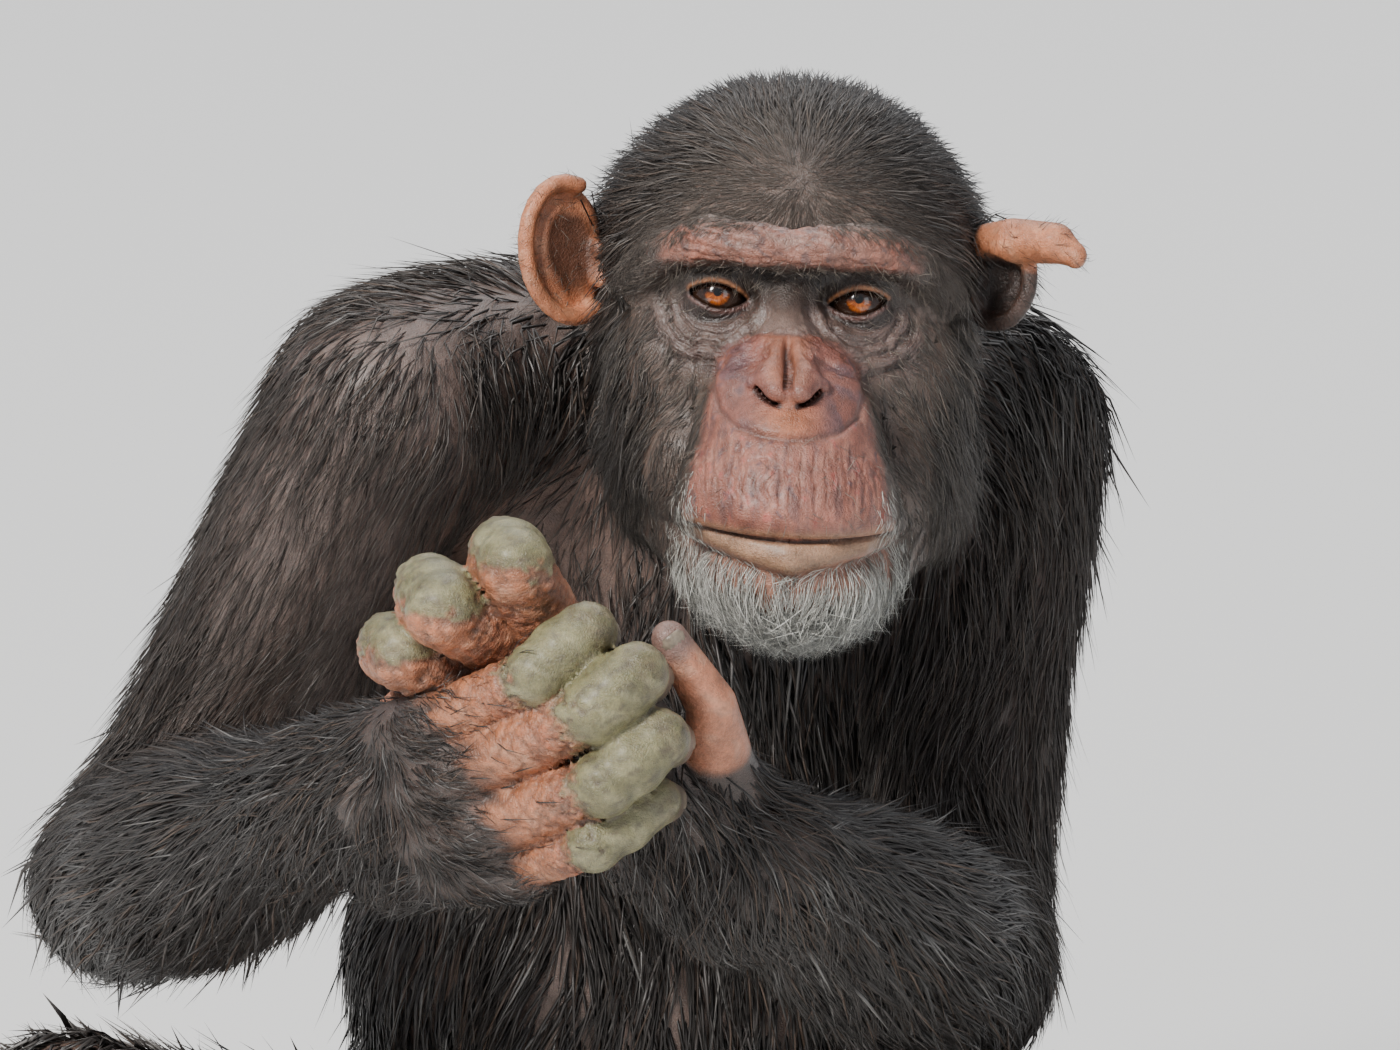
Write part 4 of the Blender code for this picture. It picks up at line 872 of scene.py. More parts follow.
# The trunk from the rump up: centre, half-width, half-depth, half-height, and its turn in degrees
TRUNK = (
    (0.000, 0.024, 0.090, 0.124, 0.110, 0.094, 8), (0.004, 0.022, 0.190, 0.138, 0.126, 0.100, 10),
    (0.010, 0.022, 0.290, 0.143, 0.130, 0.100, 14), (0.020, 0.018, 0.385, 0.143, 0.122, 0.100, 19),
    (0.028, 0.006, 0.460, 0.138, 0.108, 0.090, 23), (0.030, -0.010, 0.522, 0.134, 0.096, 0.080, 26),
)
SHOULDER_BLADES = {"right": (0.000, 0.040, 0.470), "left": (0.062, 0.035, 0.460)}
YOKE, YOKE_MIDDLE = 0.058, np.array((0.022, -0.005, 0.562))
NECK_BASE = np.array((0.036, -0.020, 0.545))
NECK_RADII = (0.080, 0.072, 0.062)
ARMPIT_FOLD = ((-0.150, -0.098, 0.462), (-0.075, -0.020, 0.420))


def blend_points(a, b, shares):
    """Points on the way from a to b, at those shares."""
    a, b = np.asarray(a, float), np.asarray(b, float)
    return a + (b - a) * np.asarray(shares, float)[:, None]


def model_body():
    """Trunk, yoke of the shoulders, neck, the armpit's fold, arms to the wrists and legs to the ankles."""
    clay = Clay((-0.36, -0.42, -0.03), (0.36, 0.24, 0.72), 0.0062, 0.055)
    for x, y, z, wide, deep, high, turn in TRUNK:
        clay.ball((x, y, z), (wide, deep, high), 0.03, turned(2, turn))
    for which, blade in SHOULDER_BLADES.items():
        inner = blend_points(SHOULDER[which], YOKE_MIDDLE, [0.22])[0] + (0, 0.010, 0)
        clay.limb((blade, inner, YOKE_MIDDLE), (YOKE * 0.92, YOKE * 0.92, YOKE), 0.03)
    top = on_head((0, 88, -16))
    clay.limb((NECK_BASE, NECK_BASE * 0.5 + top * 0.5, top), NECK_RADII, 0.02)
    clay.limb(ARMPIT_FOLD, (0.042, 0.048), 0.02)
    for which in BOTH:
        shoulder, elbow, wrist = SHOULDER[which], ELBOW[which], WRIST[which]
        clay.limb(blend_points(shoulder, elbow, (0, 0.25, 0.5, 0.78, 1)),
                  (DELTOID, DELTOID * 0.94, UPPER_ARM, UPPER_ARM * 0.9, ELBOW_RADIUS), 0.022)
        clay.limb(blend_points(elbow, wrist, (0, 0.3, 0.6, 0.86, 0.97)),
                  (ELBOW_RADIUS, FOREARM, FOREARM * 0.86, WRIST_RADIUS * 1.02, WRIST_RADIUS * 0.8), 0.010)
        hip, knee, ankle = HIP[which], KNEE[which], ANKLE[which]
        clay.limb(blend_points(hip, knee, (0, 0.35, 0.75, 1)),
                  (THIGH, THIGH * 0.98, THIGH * 0.74, KNEE_RADIUS), 0.02)
        clay.limb(blend_points(knee, ankle, (0, 0.35, 0.7, 0.95)),
                  (KNEE_RADIUS, SHANK, SHANK * 0.82, ANKLE_RADIUS * 0.85), 0.012)
    _, (x, y, z) = clay.region(np.array((-1, -1, -1)), np.array((1, 1, 1)))
    clay.depth = np.maximum(clay.depth, (0.0005 - z + 0 * x + 0 * y).astype(np.float32))
    return clay


def foot_frame(which):
    """A function that places a point: metres ahead of the ankle, aside to the great toe, and up."""
    ankle, toes = ANKLE[which], TOES[which]
    ahead = np.array((toes[0] - ankle[0], toes[1] - ankle[1], 0))
    ahead /= np.linalg.norm(ahead)
    aside = np.array((-ahead[1], ahead[0], 0)) * (1 if which == "right" else -1)
    ground = np.array((ankle[0], ankle[1], 0))
    return lambda forth, sideways, up: ground + ahead * forth + aside * sideways + np.array((0, 0, up))


# The four small toes: how far each one's bend lies ahead of the ankle, and its radius; the great toe's line
TOE_SIZES = ((0.150, 0.0112), (0.158, 0.0110), (0.152, 0.0105), (0.138, 0.0096))
GREAT_TOE = ((0.010, 0.010, 0.022), (0.055, 0.040, 0.018), (0.098, 0.054, 0.0135))
GREAT_TOE_RADII = (0.021, 0.0150, 0.0115)


def toe_line(which, toe):
    """The root, bend and end of one of the four toes."""
    at = foot_frame(which)
    sideways, reach = 0.022 - 0.0165 * toe, TOE_SIZES[toe][0]
    return (at(0.085 - 0.004 * toe, sideways * 0.9, 0.019), at(reach, sideways * 1.25, 0.024),
            at(reach + 0.026, sideways * 1.3, 0.0105))


def model_foot(which):
    """A long sole with four curled toes and a great toe that stands away like a thumb."""
    at = foot_frame(which)
    ankle, knee = ANKLE[which], KNEE[which]
    line = np.array([at(-0.06, 0, 0), at(0.20, 0.03, 0.0), at(0.1, 0.075, 0.0), at(0.1, -0.05, 0.0)])
    clay = Clay((*(line.min(0)[:2] - 0.02), -0.004), (*(line.max(0)[:2] + 0.02), 0.135), 0.0034, 0.012)
    clay.limb((at(-0.030, 0, 0.021), at(0.035, 0.004, 0.026), at(0.100, -0.002, 0.020)),
              (0.024, 0.028, 0.021), 0.008)
    clay.limb((ankle, at(0.006, 0, 0.036)), (ANKLE_RADIUS, 0.030), 0.010)
    clay.limb(blend_points(ankle, knee, (0, 0.08, 0.17, 0.22)),
              (ANKLE_RADIUS, ANKLE_RADIUS, ANKLE_RADIUS, 0.015), 0.01)
    for toe, (_, radius) in enumerate(TOE_SIZES):
        clay.limb(toe_line(which, toe), (radius * 1.3, radius, radius * 0.86), 0.004)
        clay.ball(toe_line(which, toe)[1], radius * 1.12, 0.004)
    clay.limb([at(*p) for p in GREAT_TOE], GREAT_TOE_RADII, 0.006)
    z = clay.low[2] + clay.step * np.arange(clay.depth.shape[2])
    clay.depth = np.maximum(clay.depth, (0.0004 - z)[None, None].astype(np.float32))
    return clay


def limb_side(places):
    """For each place on the body, its shares of the limbs, the trunk and the neck, in a dict.

    A share falls off as e to the power of the distance past the nearest part, and all add up to 1.
    """
    away = {"trunk": reach_to(places, [t[:3] for t in TRUNK]) - 0.125,
            "neck": reach_to(places, (NECK_BASE, on_head((0, 88, -16)))) - 0.075}
    for which in BOTH:
        for name, (start, end, radius) in LIMBS.items():
            away[name + which] = reach_to(places, (start[which], end[which])) - radius
    least = np.min(list(away.values()), axis=0)
    share = {name: np.exp(-(value - least) / 0.012) for name, value in away.items()}
    total = sum(share.values())
    return {name: value / total for name, value in share.items()}


def near_spot(points, spot, reach):
    """1 at the spot, falling off as a bell curve of the distance to it."""
    return bell(np.linalg.norm(points - spot, axis=1), 0, reach)


INNER_SHOULDER, OUTER_ARM = (-0.040, -0.118, 0.520), (0.180, -0.050, 0.500)


def body_tones(places):
    """The hide under the coat: dark brown, lighter and pinkish on the shoulders, arms, knees and chest."""
    mottle = swirl(places * 1000, 90, 31)
    share = limb_side(places)
    arms = share["upper_right"] + share["upper_left"] + share["fore_right"] + share["fore_left"]
    front = fade(places[:, 1], 0.03, -0.06)
    return painted(
        np.tile((0.055, 0.040, 0.034), (len(places), 1)),
        ((0.105, 0.076, 0.064), arms * (0.65 + 0.3 * mottle)),
        ((0.150, 0.108, 0.094), near_spot(places, SHOULDER["right"], 0.10) * front),
        ((0.28, 0.150, 0.105), near_spot(places, INNER_SHOULDER, 0.055) * 0.9),
        ((0.165, 0.118, 0.100), near_spot(places, OUTER_ARM, 0.07) * 0.8),
        ((0.12, 0.08, 0.065), share["trunk"] * front * 0.8),
        ((0.16, 0.10, 0.078), near_spot(places, KNEE["right"], 0.07) + near_spot(places, KNEE["left"], 0.07)),
    )


def foot_tones(which, places):
    """Soles and toes: dusty brown leather, lighter on the toes and underneath."""
    toes = np.linalg.norm(places - foot_frame(which)(0.15, 0.01, 0.01), axis=1)
    return painted(
        np.tile((0.11, 0.075, 0.060), (len(places), 1)),
        ((0.27, 0.175, 0.125), fade(toes, 0.075, 0.04)),
        ((0.34, 0.24, 0.18), fade(places[:, 2], 0.016, 0.004)),
        ((0.20, 0.13, 0.10), fade(swirl(places * 1000, 16, 33), 0.1, 0.9) * 0.5),
    )


head_clay, body_clay = model_head(), model_body()
hand_clay = {which: model_hand(which) for which in BOTH}
foot_clay = {which: model_foot(which) for which in BOTH}
head_mesh, body_mesh = head_clay.cast(), body_clay.cast()
hand_mesh = {which: hand_clay[which].cast() for which in hand_clay}
foot_mesh = {which: foot_clay[which].cast() for which in foot_clay}


# The half-width of the bare face by height: brow, eyes, cheeks, muzzle and chin
BARE_FACE = ((-140, 44), (-112, 46), (-98, 47), (-80, 43), (-62, 38), (-48, 34), (-36, 36), (-24, 43),
             (-8, 47), (4, 50), (14, 58), (22, 56), (28, 44), (31, 20), (33, 0))


def face_edge(points):
    """How far a point lies outside the bare face, in millimetres: below 0 on the face itself."""
    x, y, z = points.T
    half = np.interp(z, *np.transpose(BARE_FACE))
    ragged = 2.5 * swirl(points, 16, 51)
    outside = np.where(z > 33, 6 + (z - 33), np.abs(x) - half) + ragged
    return np.maximum(outside, (y - 48) * 0.8)


def off_ears(points):
    """0 on the ears and 1 off them."""
    keep = 1.0
    for which in BOTH:
        out, back, _ = off_root(which, points).T
        _, side = ear_frame(which)
        keep = keep * (1 - fade(out, -3, 2) * fade(points[:, 0] * side, 70, 75) * fade(back, 16, 9))
    return keep


def head_skin():
    """The head's cast, split finer on the face and thinned under the hair, with its folds raised along the
    way out of the surface."""
    places, faces = head_mesh
    x, y, z = places.T
    face = (np.abs(x) < 44) & (z > -104) & (z < 34) & (y < 20)
    first_new = len(places)
    places, faces = refine(places, faces, face)
    away, out = head_clay.feel(places[first_new:])
    places[first_new:] -= out * np.clip(away, -1, 1)[:, None]
    ears = (off_ears(places) < 0.5) | (np.abs(places[:, 0]) > 76)
    places, faces = thin_out(places, faces, 4.0, (face_edge(places) > 5) & ~ears)
    rise, marks = face_marks(places)
    _, out = head_clay.feel(places)
    rim = fade(np.abs(places[:, 0]), 76, 82)
    bare = np.clip(marks["front"] * fade(places[:, 2], 34, 26) + rim, 0, 1)
    masks = np.stack((marks["lip"] * 0.5, marks["below"] * 0.8, marks["brow"] * 0.4, bare), -1)
    return on_head(places + out * rise[:, None]), faces, head_tones(places, marks), masks, marks["ring"]


def hand_skin(which):
    """A hand's cast, split finer round the first lengths of the fingers, with its creases sunk into it."""
    places, faces = hand_mesh[which]
    lengths = [np.array(finger[:3]) for finger in FINGERS[which]]
    near = np.min([reach_to(places, ((a + b) / 2, b + (c - b) * 0.25)) for a, b, c in lengths], axis=0)
    first_new = len(places)
    places, faces = refine(places, faces, near < 0.016)
    away, out = hand_clay[which].feel(places[first_new:])
    places[first_new:] -= out * np.clip(away, -0.001, 0.001)[:, None]
    rise, tones, masks, length = hand_marks(which, places)
    _, out = hand_clay[which].feel(places)
    return places + out * rise[:, None], faces, tones, masks, length


def plain_skin(mesh, tones, bare):
    """A part with no folds raised: its tones, and one value for its creases and how bare it is."""
    places, faces = mesh
    none = np.zeros(len(places))
    return places, faces, tones, np.stack((none, none, none + bare, none + bare), -1), none


def give_colour(piece, name, values):
    """Stores a colour of three or four numbers at every corner."""
    values = np.asarray(values, np.float32)
    if values.shape[1] == 3:
        values = np.concatenate((values, np.ones((len(values), 1), np.float32)), 1)
    piece.data.attributes.new(name, "FLOAT_COLOR", "POINT").data.foreach_set("color", values.ravel())


def give_number(piece, name, values):
    """Stores one number at every corner."""
    layer = piece.data.attributes.new(name, "FLOAT", "POINT")
    layer.data.foreach_set("value", np.asarray(values, np.float32))


def hide_finish():
    """Leather: the part's own tone with blotches and freckles, a net of creases and lip lines that go deeper
    where the masks say, fine cells, and a damp sheen."""
    hide = Finish("hide")
    spot, reach = hide.spot(), hide.attribute("reach", "Fac")
    zones = hide.add("SeparateColor", {"Color": hide.attribute("masks")}).outputs
    lip, folds, creases = zones["Red"], zones["Green"], zones["Blue"]
    blotch, freckle = hide.noise(spot, 110.0, 5.0, Roughness=0.6), hide.noise(spot, 620.0, 3.0)
    strength = hide.times(hide.span(blotch, 0.3, 0.7, 0.66, 1.34), hide.span(freckle, 0.25, 0.75, 0.78, 1.2))
    bands = {"Vector": spot, "Scale": 62.0, "Distortion": 5.0, "Detail": 2.0, "Detail Scale": 1.1}
    lip_line = hide.span(hide.add("TexWave", bands, bands_direction="X").outputs["Fac"], 0, 0.30)
    lip_dark = hide.times(hide.times_plus(lip_line, -1.0, 1.0), lip)
    warp = hide.add("TexNoise", {"Vector": spot, "Scale": 90.0, "Detail": 2.0}).outputs["Color"]
    bent = hide.add("VectorMath", {0: warp, 1: (0.012, 0.012, 0.012), 2: spot}, operation="MULTIPLY_ADD")
    net_dark = hide.times(hide.span(hide.cells(bent.outputs[0], 190.0), 0, 0.10, 1.0, 0.0), creases)
    dark = hide.times_plus(net_dark, 0.8, lip_dark)
    shade = hide.times(strength, hide.times_plus(dark, -0.38, 1.0))
    wet = hide.times_plus(folds, -0.12, hide.span(blotch, 0.3, 0.7, 0.30, 0.50))
    hide.put(Base_Color=hide.shaded(hide.attribute("tone"), shade), Roughness=wet)
    waves = hide.sine(hide.times(hide.times_plus(blotch, 5.0, reach), 3.6))
    ridges = hide.noise(hide.scaled(spot, (1.0, 1.0, 0.22)), 480.0, 4.0, Roughness=0.6)
    height = hide.times_plus(hide.span(hide.cells(spot, 720.0), 0, 0.25), 0.25, hide.noise(spot, 1400.0, 3.0))
    for relief, depth in ((hide.times(waves, folds), 0.45), (hide.times(ridges, lip), 3.0), (dark, -1.3)):
        height = hide.times_plus(relief, depth, height)
    hide.bump(height, 0.7, 0.0007)
    hide.put(Subsurface_Weight=0.12, Subsurface_Radius=(1.0, 0.35, 0.2), Subsurface_Scale=0.004,
             Coat_Weight=0.18, Coat_Roughness=0.32)
    return hide.made


HIDE = hide_finish()


def skin_piece(name, slot, parts, *nodes):
    """Joins casts into one piece of skin that stands for the named solids, with tones, masks and reach."""
    starts = np.cumsum([0] + [len(part[0]) for part in parts[:-1]])
    made = mesh_piece(name, np.concatenate([part[0] for part in parts]),
                      np.concatenate([part[1] + start for part, start in zip(parts, starts)]))
    give_colour(made, "tone", np.concatenate([part[2] for part in parts]))
    give_colour(made, "masks", np.concatenate([part[3] for part in parts]))
    give_number(made, "reach", np.concatenate([part[4] for part in parts]))
    made.data.materials.append(HIDE)
    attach(made, "root")
    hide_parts(*nodes)


skin_piece("skin_head", "face_skin", [head_skin()], "head", "neck", "ear_right", "ear_left")
skin_piece("skin_hands", "hand_skin", [hand_skin(which) for which in BOTH], "hand_right", "hand_left")
skin_piece("skin_body", "face_skin",
           [plain_skin(body_mesh, body_tones(body_mesh[0]), 0)]
           + [plain_skin(foot_mesh[which], foot_tones(which, foot_mesh[which][0]), 0.3) for which in BOTH],
           "torso", *(part + which for part in ("upper_arm_", "forearm_", "thigh_", "shank_", "foot_")
                      for which in BOTH))

# Eyes. Glass-bright balls with a low dome in front: amber-orange irises with fine spokes, a dark
# ring round them, and the dark brown whites of the species. They sit in their sockets, under lids.
IRIS_RADIUS, PUPIL_RADIUS, CORNEA_RISE, GAZE_RISE = 5.6, 1.7, 0.55, 6


def eye_finish():
    """By the reach from the middle: pupil, spoked amber iris, dark ring, brown white; all under a wet coat.
    Above its middle the iris is darkened as a painted shadow of the upper lid.

    The Iris map holds the turn round the line of sight and that reach, as a share of the eye's radius.
    """
    eye = Finish("eye")
    pattern = eye.layer("Iris")
    parts = eye.add("SeparateXYZ", {"Vector": pattern}).outputs
    spokes = eye.noise(eye.scaled(pattern, (46.0, 2.4, 1.0)), 1.0, 4.0)
    amber = eye.ramp(spokes, (0.36, (0.15, 0.026, 0.003)), (0.64, (0.46, 0.115, 0.012)))
    pupil, edge = PUPIL_RADIUS / EYE_RADIUS, IRIS_RADIUS / EYE_RADIUS
    bands = eye.ramp(parts["Y"], (pupil - 0.012, (0, 0, 0)), (pupil + 0.02, (1, 1, 1)),
                     (edge - 0.09, (1, 1, 1)), (edge, (0.10, 0.10, 0.10)))
    iris = eye.add("Mix", {0: 1.0, 6: amber, 7: bands}, data_type="RGBA", blend_type="MULTIPLY").outputs[2]
    # Painted shade: the iris darkens to near black above a little over its middle, for the upper lid's shadow
    height = eye.times(eye.sine(eye.times(parts["X"], 2 * math.pi)), parts["Y"])
    iris_with_painted_lid_shadow = eye.shaded(iris, eye.span(height, -0.14, 0.02, 1.0, 0.05))
    cloud = eye.noise(eye.spot(), 300.0, 4.0)
    white = eye.ramp(cloud, (0.0, (0.010, 0.005, 0.003)), (1.0, (0.045, 0.020, 0.012)))
    outside = eye.span(parts["Y"], edge - 0.02, edge + 0.05)
    colour = eye.add("Mix", {0: outside, 6: iris_with_painted_lid_shadow, 7: white}, data_type="RGBA").outputs[2]
    eye.put(Base_Color=colour, Roughness=eye.span(cloud, 0, 1, 0.10, 0.22))
    eye.put(Coat_Weight=1.0, Coat_Roughness=0.03)
    eye.bump(spokes, 0.15, 0.0002)
    return eye.made


def eyeball(side):
    """A ball round the line of sight: rows of corners at growing angles from it, raised by the dome in front.

    A corner is its radius times the sine of its angle, turned round the line, and the cosine along it.
    """
    rows, columns = 40, 48
    slope = np.concatenate((np.linspace(0, 0.75, 26), np.linspace(0.85, math.pi, rows - 26)))
    swing = np.linspace(0, 2 * math.pi, columns, endpoint=False)
    radius = EYE_RADIUS + CORNEA_RISE * fade(slope, 0.56, 0.20)
    across = radius * np.sin(slope)
    ahead = radius * np.cos(slope)
    places = np.stack((across[:, None] * np.cos(swing), -ahead[:, None] + 0 * swing,
                       across[:, None] * np.sin(swing)), -1)
    body = places[1:-1].reshape(-1, 3)
    places = np.concatenate((body, places[0, :1], places[-1, :1]))
    faces = sheet_faces(rows - 2, columns, closed=True)
    front, back = len(body), len(body) + 1
    ring = np.arange(columns)
    after = (ring + 1) % columns
    far = (rows - 3) * columns
    caps = np.concatenate((np.stack((np.full(columns, front), after, ring), -1),
                           np.stack((np.full(columns, back), far + ring, far + after), -1)))
    world = on_head(places @ turned(0, -GAZE_RISE).T + (side * EYE_SPACING / 2, EYE_DEPTH, EYE_HEIGHT))
    mesh = bpy.data.meshes.new("eyeball_" + ("right" if side < 0 else "left"))
    mesh.from_pydata(world.tolist(), [], faces[:, ::-1].tolist() + caps[:, ::-1].tolist())
    mesh.shade_smooth()
    reach = np.concatenate((np.repeat(across[1:-1], columns), [0, 0])) / EYE_RADIUS
    slopes = np.concatenate((np.repeat(slope[1:-1], columns), [0, math.pi]))
    reach = np.where(slopes > math.pi / 2, 2 - reach, reach)
    angle = np.concatenate((np.tile(swing / (2 * math.pi), rows - 2), [0.5, 0.5]))
    corners = np.empty(len(mesh.loops), np.int32)
    mesh.loops.foreach_get("vertex_index", corners)
    uv = np.stack((angle[corners], reach[corners]), -1)
    size = np.empty(len(mesh.polygons), np.int32)
    mesh.polygons.foreach_get("loop_total", size)
    face = np.repeat(np.arange(len(size)), size)
    widest = np.zeros(len(size))
    np.maximum.at(widest, face, uv[:, 0])
    uv[:, 0] += (uv[:, 0] == 0) & (widest[face] > 0.9)
    mesh.uv_layers.new(name="Iris").data.foreach_set("uv", uv.astype(np.float32).ravel())
    made = bpy.data.objects.new(mesh.name, mesh)
    bpy.context.scene.collection.objects.link(made)
    return made


AMBER = eye_finish()
for side, which in ((-1, "right"), (1, "left")):
    ball = eyeball(side)
    ball.data.materials.append(AMBER)
    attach(ball, "root")
    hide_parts("eye_" + which)

# Nails. Thin curved plates of grey-brown horn, one on each finger, thumb and toe, set a little
# into the flesh at the root and free at the tip.
NAIL_BEND = 1.15


def nail_plate(tip, along, out, width, length, thick=0.0009):
    """A plate bent round its finger: a stretch of tube that narrows to the root and is rounded at the tip.

    A corner is sideways by the sine and down by the cosine of its turn; an inner face lies thick below the
    outer one, and a wall joins their edges.
    """
    rows, columns = 7, 9
    t = np.linspace(0, 1, rows)[:, None]
    s = np.linspace(-1, 1, columns)[None]
    along = along / np.linalg.norm(along)
    out = out - along * (out @ along)
    out /= np.linalg.norm(out)
    across = np.cross(along, out)
    rounded = 1 - 0.22 * np.clip((t - 0.8) / 0.2, 0, 1) ** 2
    half = width / 2 * (0.80 + 0.20 * np.sqrt(np.clip(t * 3, 0, 1))) * rounded
    sideways = half * np.sin(s * NAIL_BEND) / math.sin(NAIL_BEND)
    height = width * 0.42 * (np.cos(s * NAIL_BEND) - 1) - thick * 1.2 * (t < 0.1)
    forth = (t - 0.75) * length + 0.10 * length * (1 - s * s) * (t > 0.9)
    flat = tip + forth[..., None] * along + sideways[..., None] * across
    shells = [flat + (height - drop)[..., None] * out for drop in (0, thick)]
    places = np.concatenate([shell.reshape(-1, 3) for shell in shells])
    faces = sheet_faces(rows, columns)
    count = rows * columns
    grid = np.arange(count).reshape(rows, columns)
    edge = np.concatenate((grid[0], grid[1:, -1], grid[-1, -2::-1], grid[-2:0:-1, 0]))
    after = np.roll(edge, -1)
    wall = np.stack((edge, edge + count, after + count, after), -1)
    return places, np.concatenate((faces, faces[:, ::-1] + count, wall))


def square_to(out, along):
    """The direction nearest to out that is square to along."""
    out = out - along * (out @ along) / (along @ along)
    return out / np.linalg.norm(out)


THUMB_NAIL_FACES = {"right": np.array((-0.5, -0.85, 0.25)), "left": np.array((-0.2, -0.6, 0.7))}
UP = np.array((0, 0, 1.0))


def nails():
    """Each nail's place: at the tip of its finger or toe, on the side away from the palm or sole."""
    plates = []
    for which in BOTH:
        for _, second, third, tip, radius in FINGERS[which]:
            third, tip, second = np.array(third), np.array(tip), np.array(second)
            along = tip - third
            back = (third - second) / np.linalg.norm(third - second) - 0.3 * along / np.linalg.norm(along)
            out = square_to(back, along)
            plates.append((tip + out * radius * 0.80, along, out, radius * 1.25, radius * 1.15))
        _, middle, tip, radii = (np.array(p) for p in THUMB[which])
        out = square_to(THUMB_NAIL_FACES[which], tip - middle)
        plates.append((tip + out * radii[2], tip - middle, out, radii[2] * 1.5, radii[2] * 1.6))
        for toe, (_, radius) in enumerate(TOE_SIZES):
            _, bend, end = toe_line(which, toe)
            along = end - bend
            plates.append((end + UP * radius * 0.86 - along * 0.05, along, UP, radius * 1.25, radius * 1.2))
        at = foot_frame(which)
        end = at(*GREAT_TOE[2])
        plates.append((end + UP * GREAT_TOE_RADII[2], end - at(*GREAT_TOE[1]), UP, 0.015, 0.014))
    return plates


def nail_finish():
    """Horn: clouds of grey-brown, with a fine uneven surface and a dull shine."""
    horn = Finish("nail horn")
    spot = horn.spot()
    cloud = horn.noise(spot, 260.0, 5.0)
    colour = horn.ramp(cloud, (0.3, (0.10, 0.078, 0.058)), (0.7, (0.33, 0.27, 0.20)))
    horn.put(Base_Color=colour, Roughness=horn.span(cloud, 0, 1, 0.28, 0.5))
    horn.bump(horn.noise(spot, 1500.0, 2.0), 0.3, 0.0003)
    return horn.made


plates = [nail_plate(*plate) for plate in nails()]
counts = np.cumsum([0] + [len(p) for p, _ in plates[:-1]])
nail_set = mesh_piece("nails", np.concatenate([p for p, _ in plates]),
                      np.concatenate([f + start for (_, f), start in zip(plates, counts)])[:, ::-1])
nail_set.data.materials.append(nail_finish())
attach(nail_set, "root")

# Coat of the head. Long, coarse, straight hair, here as thin flat wisps rooted in the skin: short
# and thin on the forehead, where it spreads from a whorl, longer over the crown and temples, and
# longest in the whiskers down the cheeks; white in the beard.
def sow(places, faces, density, count, draw):
    """Roots over a mesh: faces taken in order, in step with their area times the density there.

    A root is its face's corners mixed by two random shares.
    """
    corner = places[faces]
    centre = corner.mean(1)
    area = np.linalg.norm(np.cross(corner[:, 2] - corner[:, 0], corner[:, 3] - corner[:, 1]), axis=1) / 2
    total = np.cumsum(area * density(centre))
    picks = (np.arange(count) + draw.random(count)) / count * total[-1]
    face = np.minimum(np.searchsorted(total, picks), len(faces) - 1)
    u, v = draw.random((2, count, 1))
    c = corner[face]
    return (c[:, 0] * (1 - u) + c[:, 1] * u) * (1 - v) + (c[:, 3] * (1 - u) + c[:, 2] * u) * v


def unit(vectors):
    """The vectors at length 1."""
    return vectors / np.maximum(np.linalg.norm(vectors, axis=-1, keepdims=True), 1e-9)


LOCK_WAVES = ((12.9, 78.2, 37.7), (39.3, 11.1, 83.2), (73.2, 52.3, 9.1))


def lock_pull(points, size, seed):
    """For each point, the way to the middle of its own lock, and a number of that lock's own on each axis.

    Space is cut in cells of that size, jogged by noise; the numbers are sines of the cell's place.
    """
    jog = np.stack([swirl(points, size * 3.5, seed + i) for i in range(3)], -1) * size * 0.7
    cell = np.floor((points + jog) / size)
    shake = np.sin(np.stack([cell @ np.array(way) for way in LOCK_WAVES], -1))
    return (cell + 0.5 + 0.3 * shake) * size - jog - points, shake


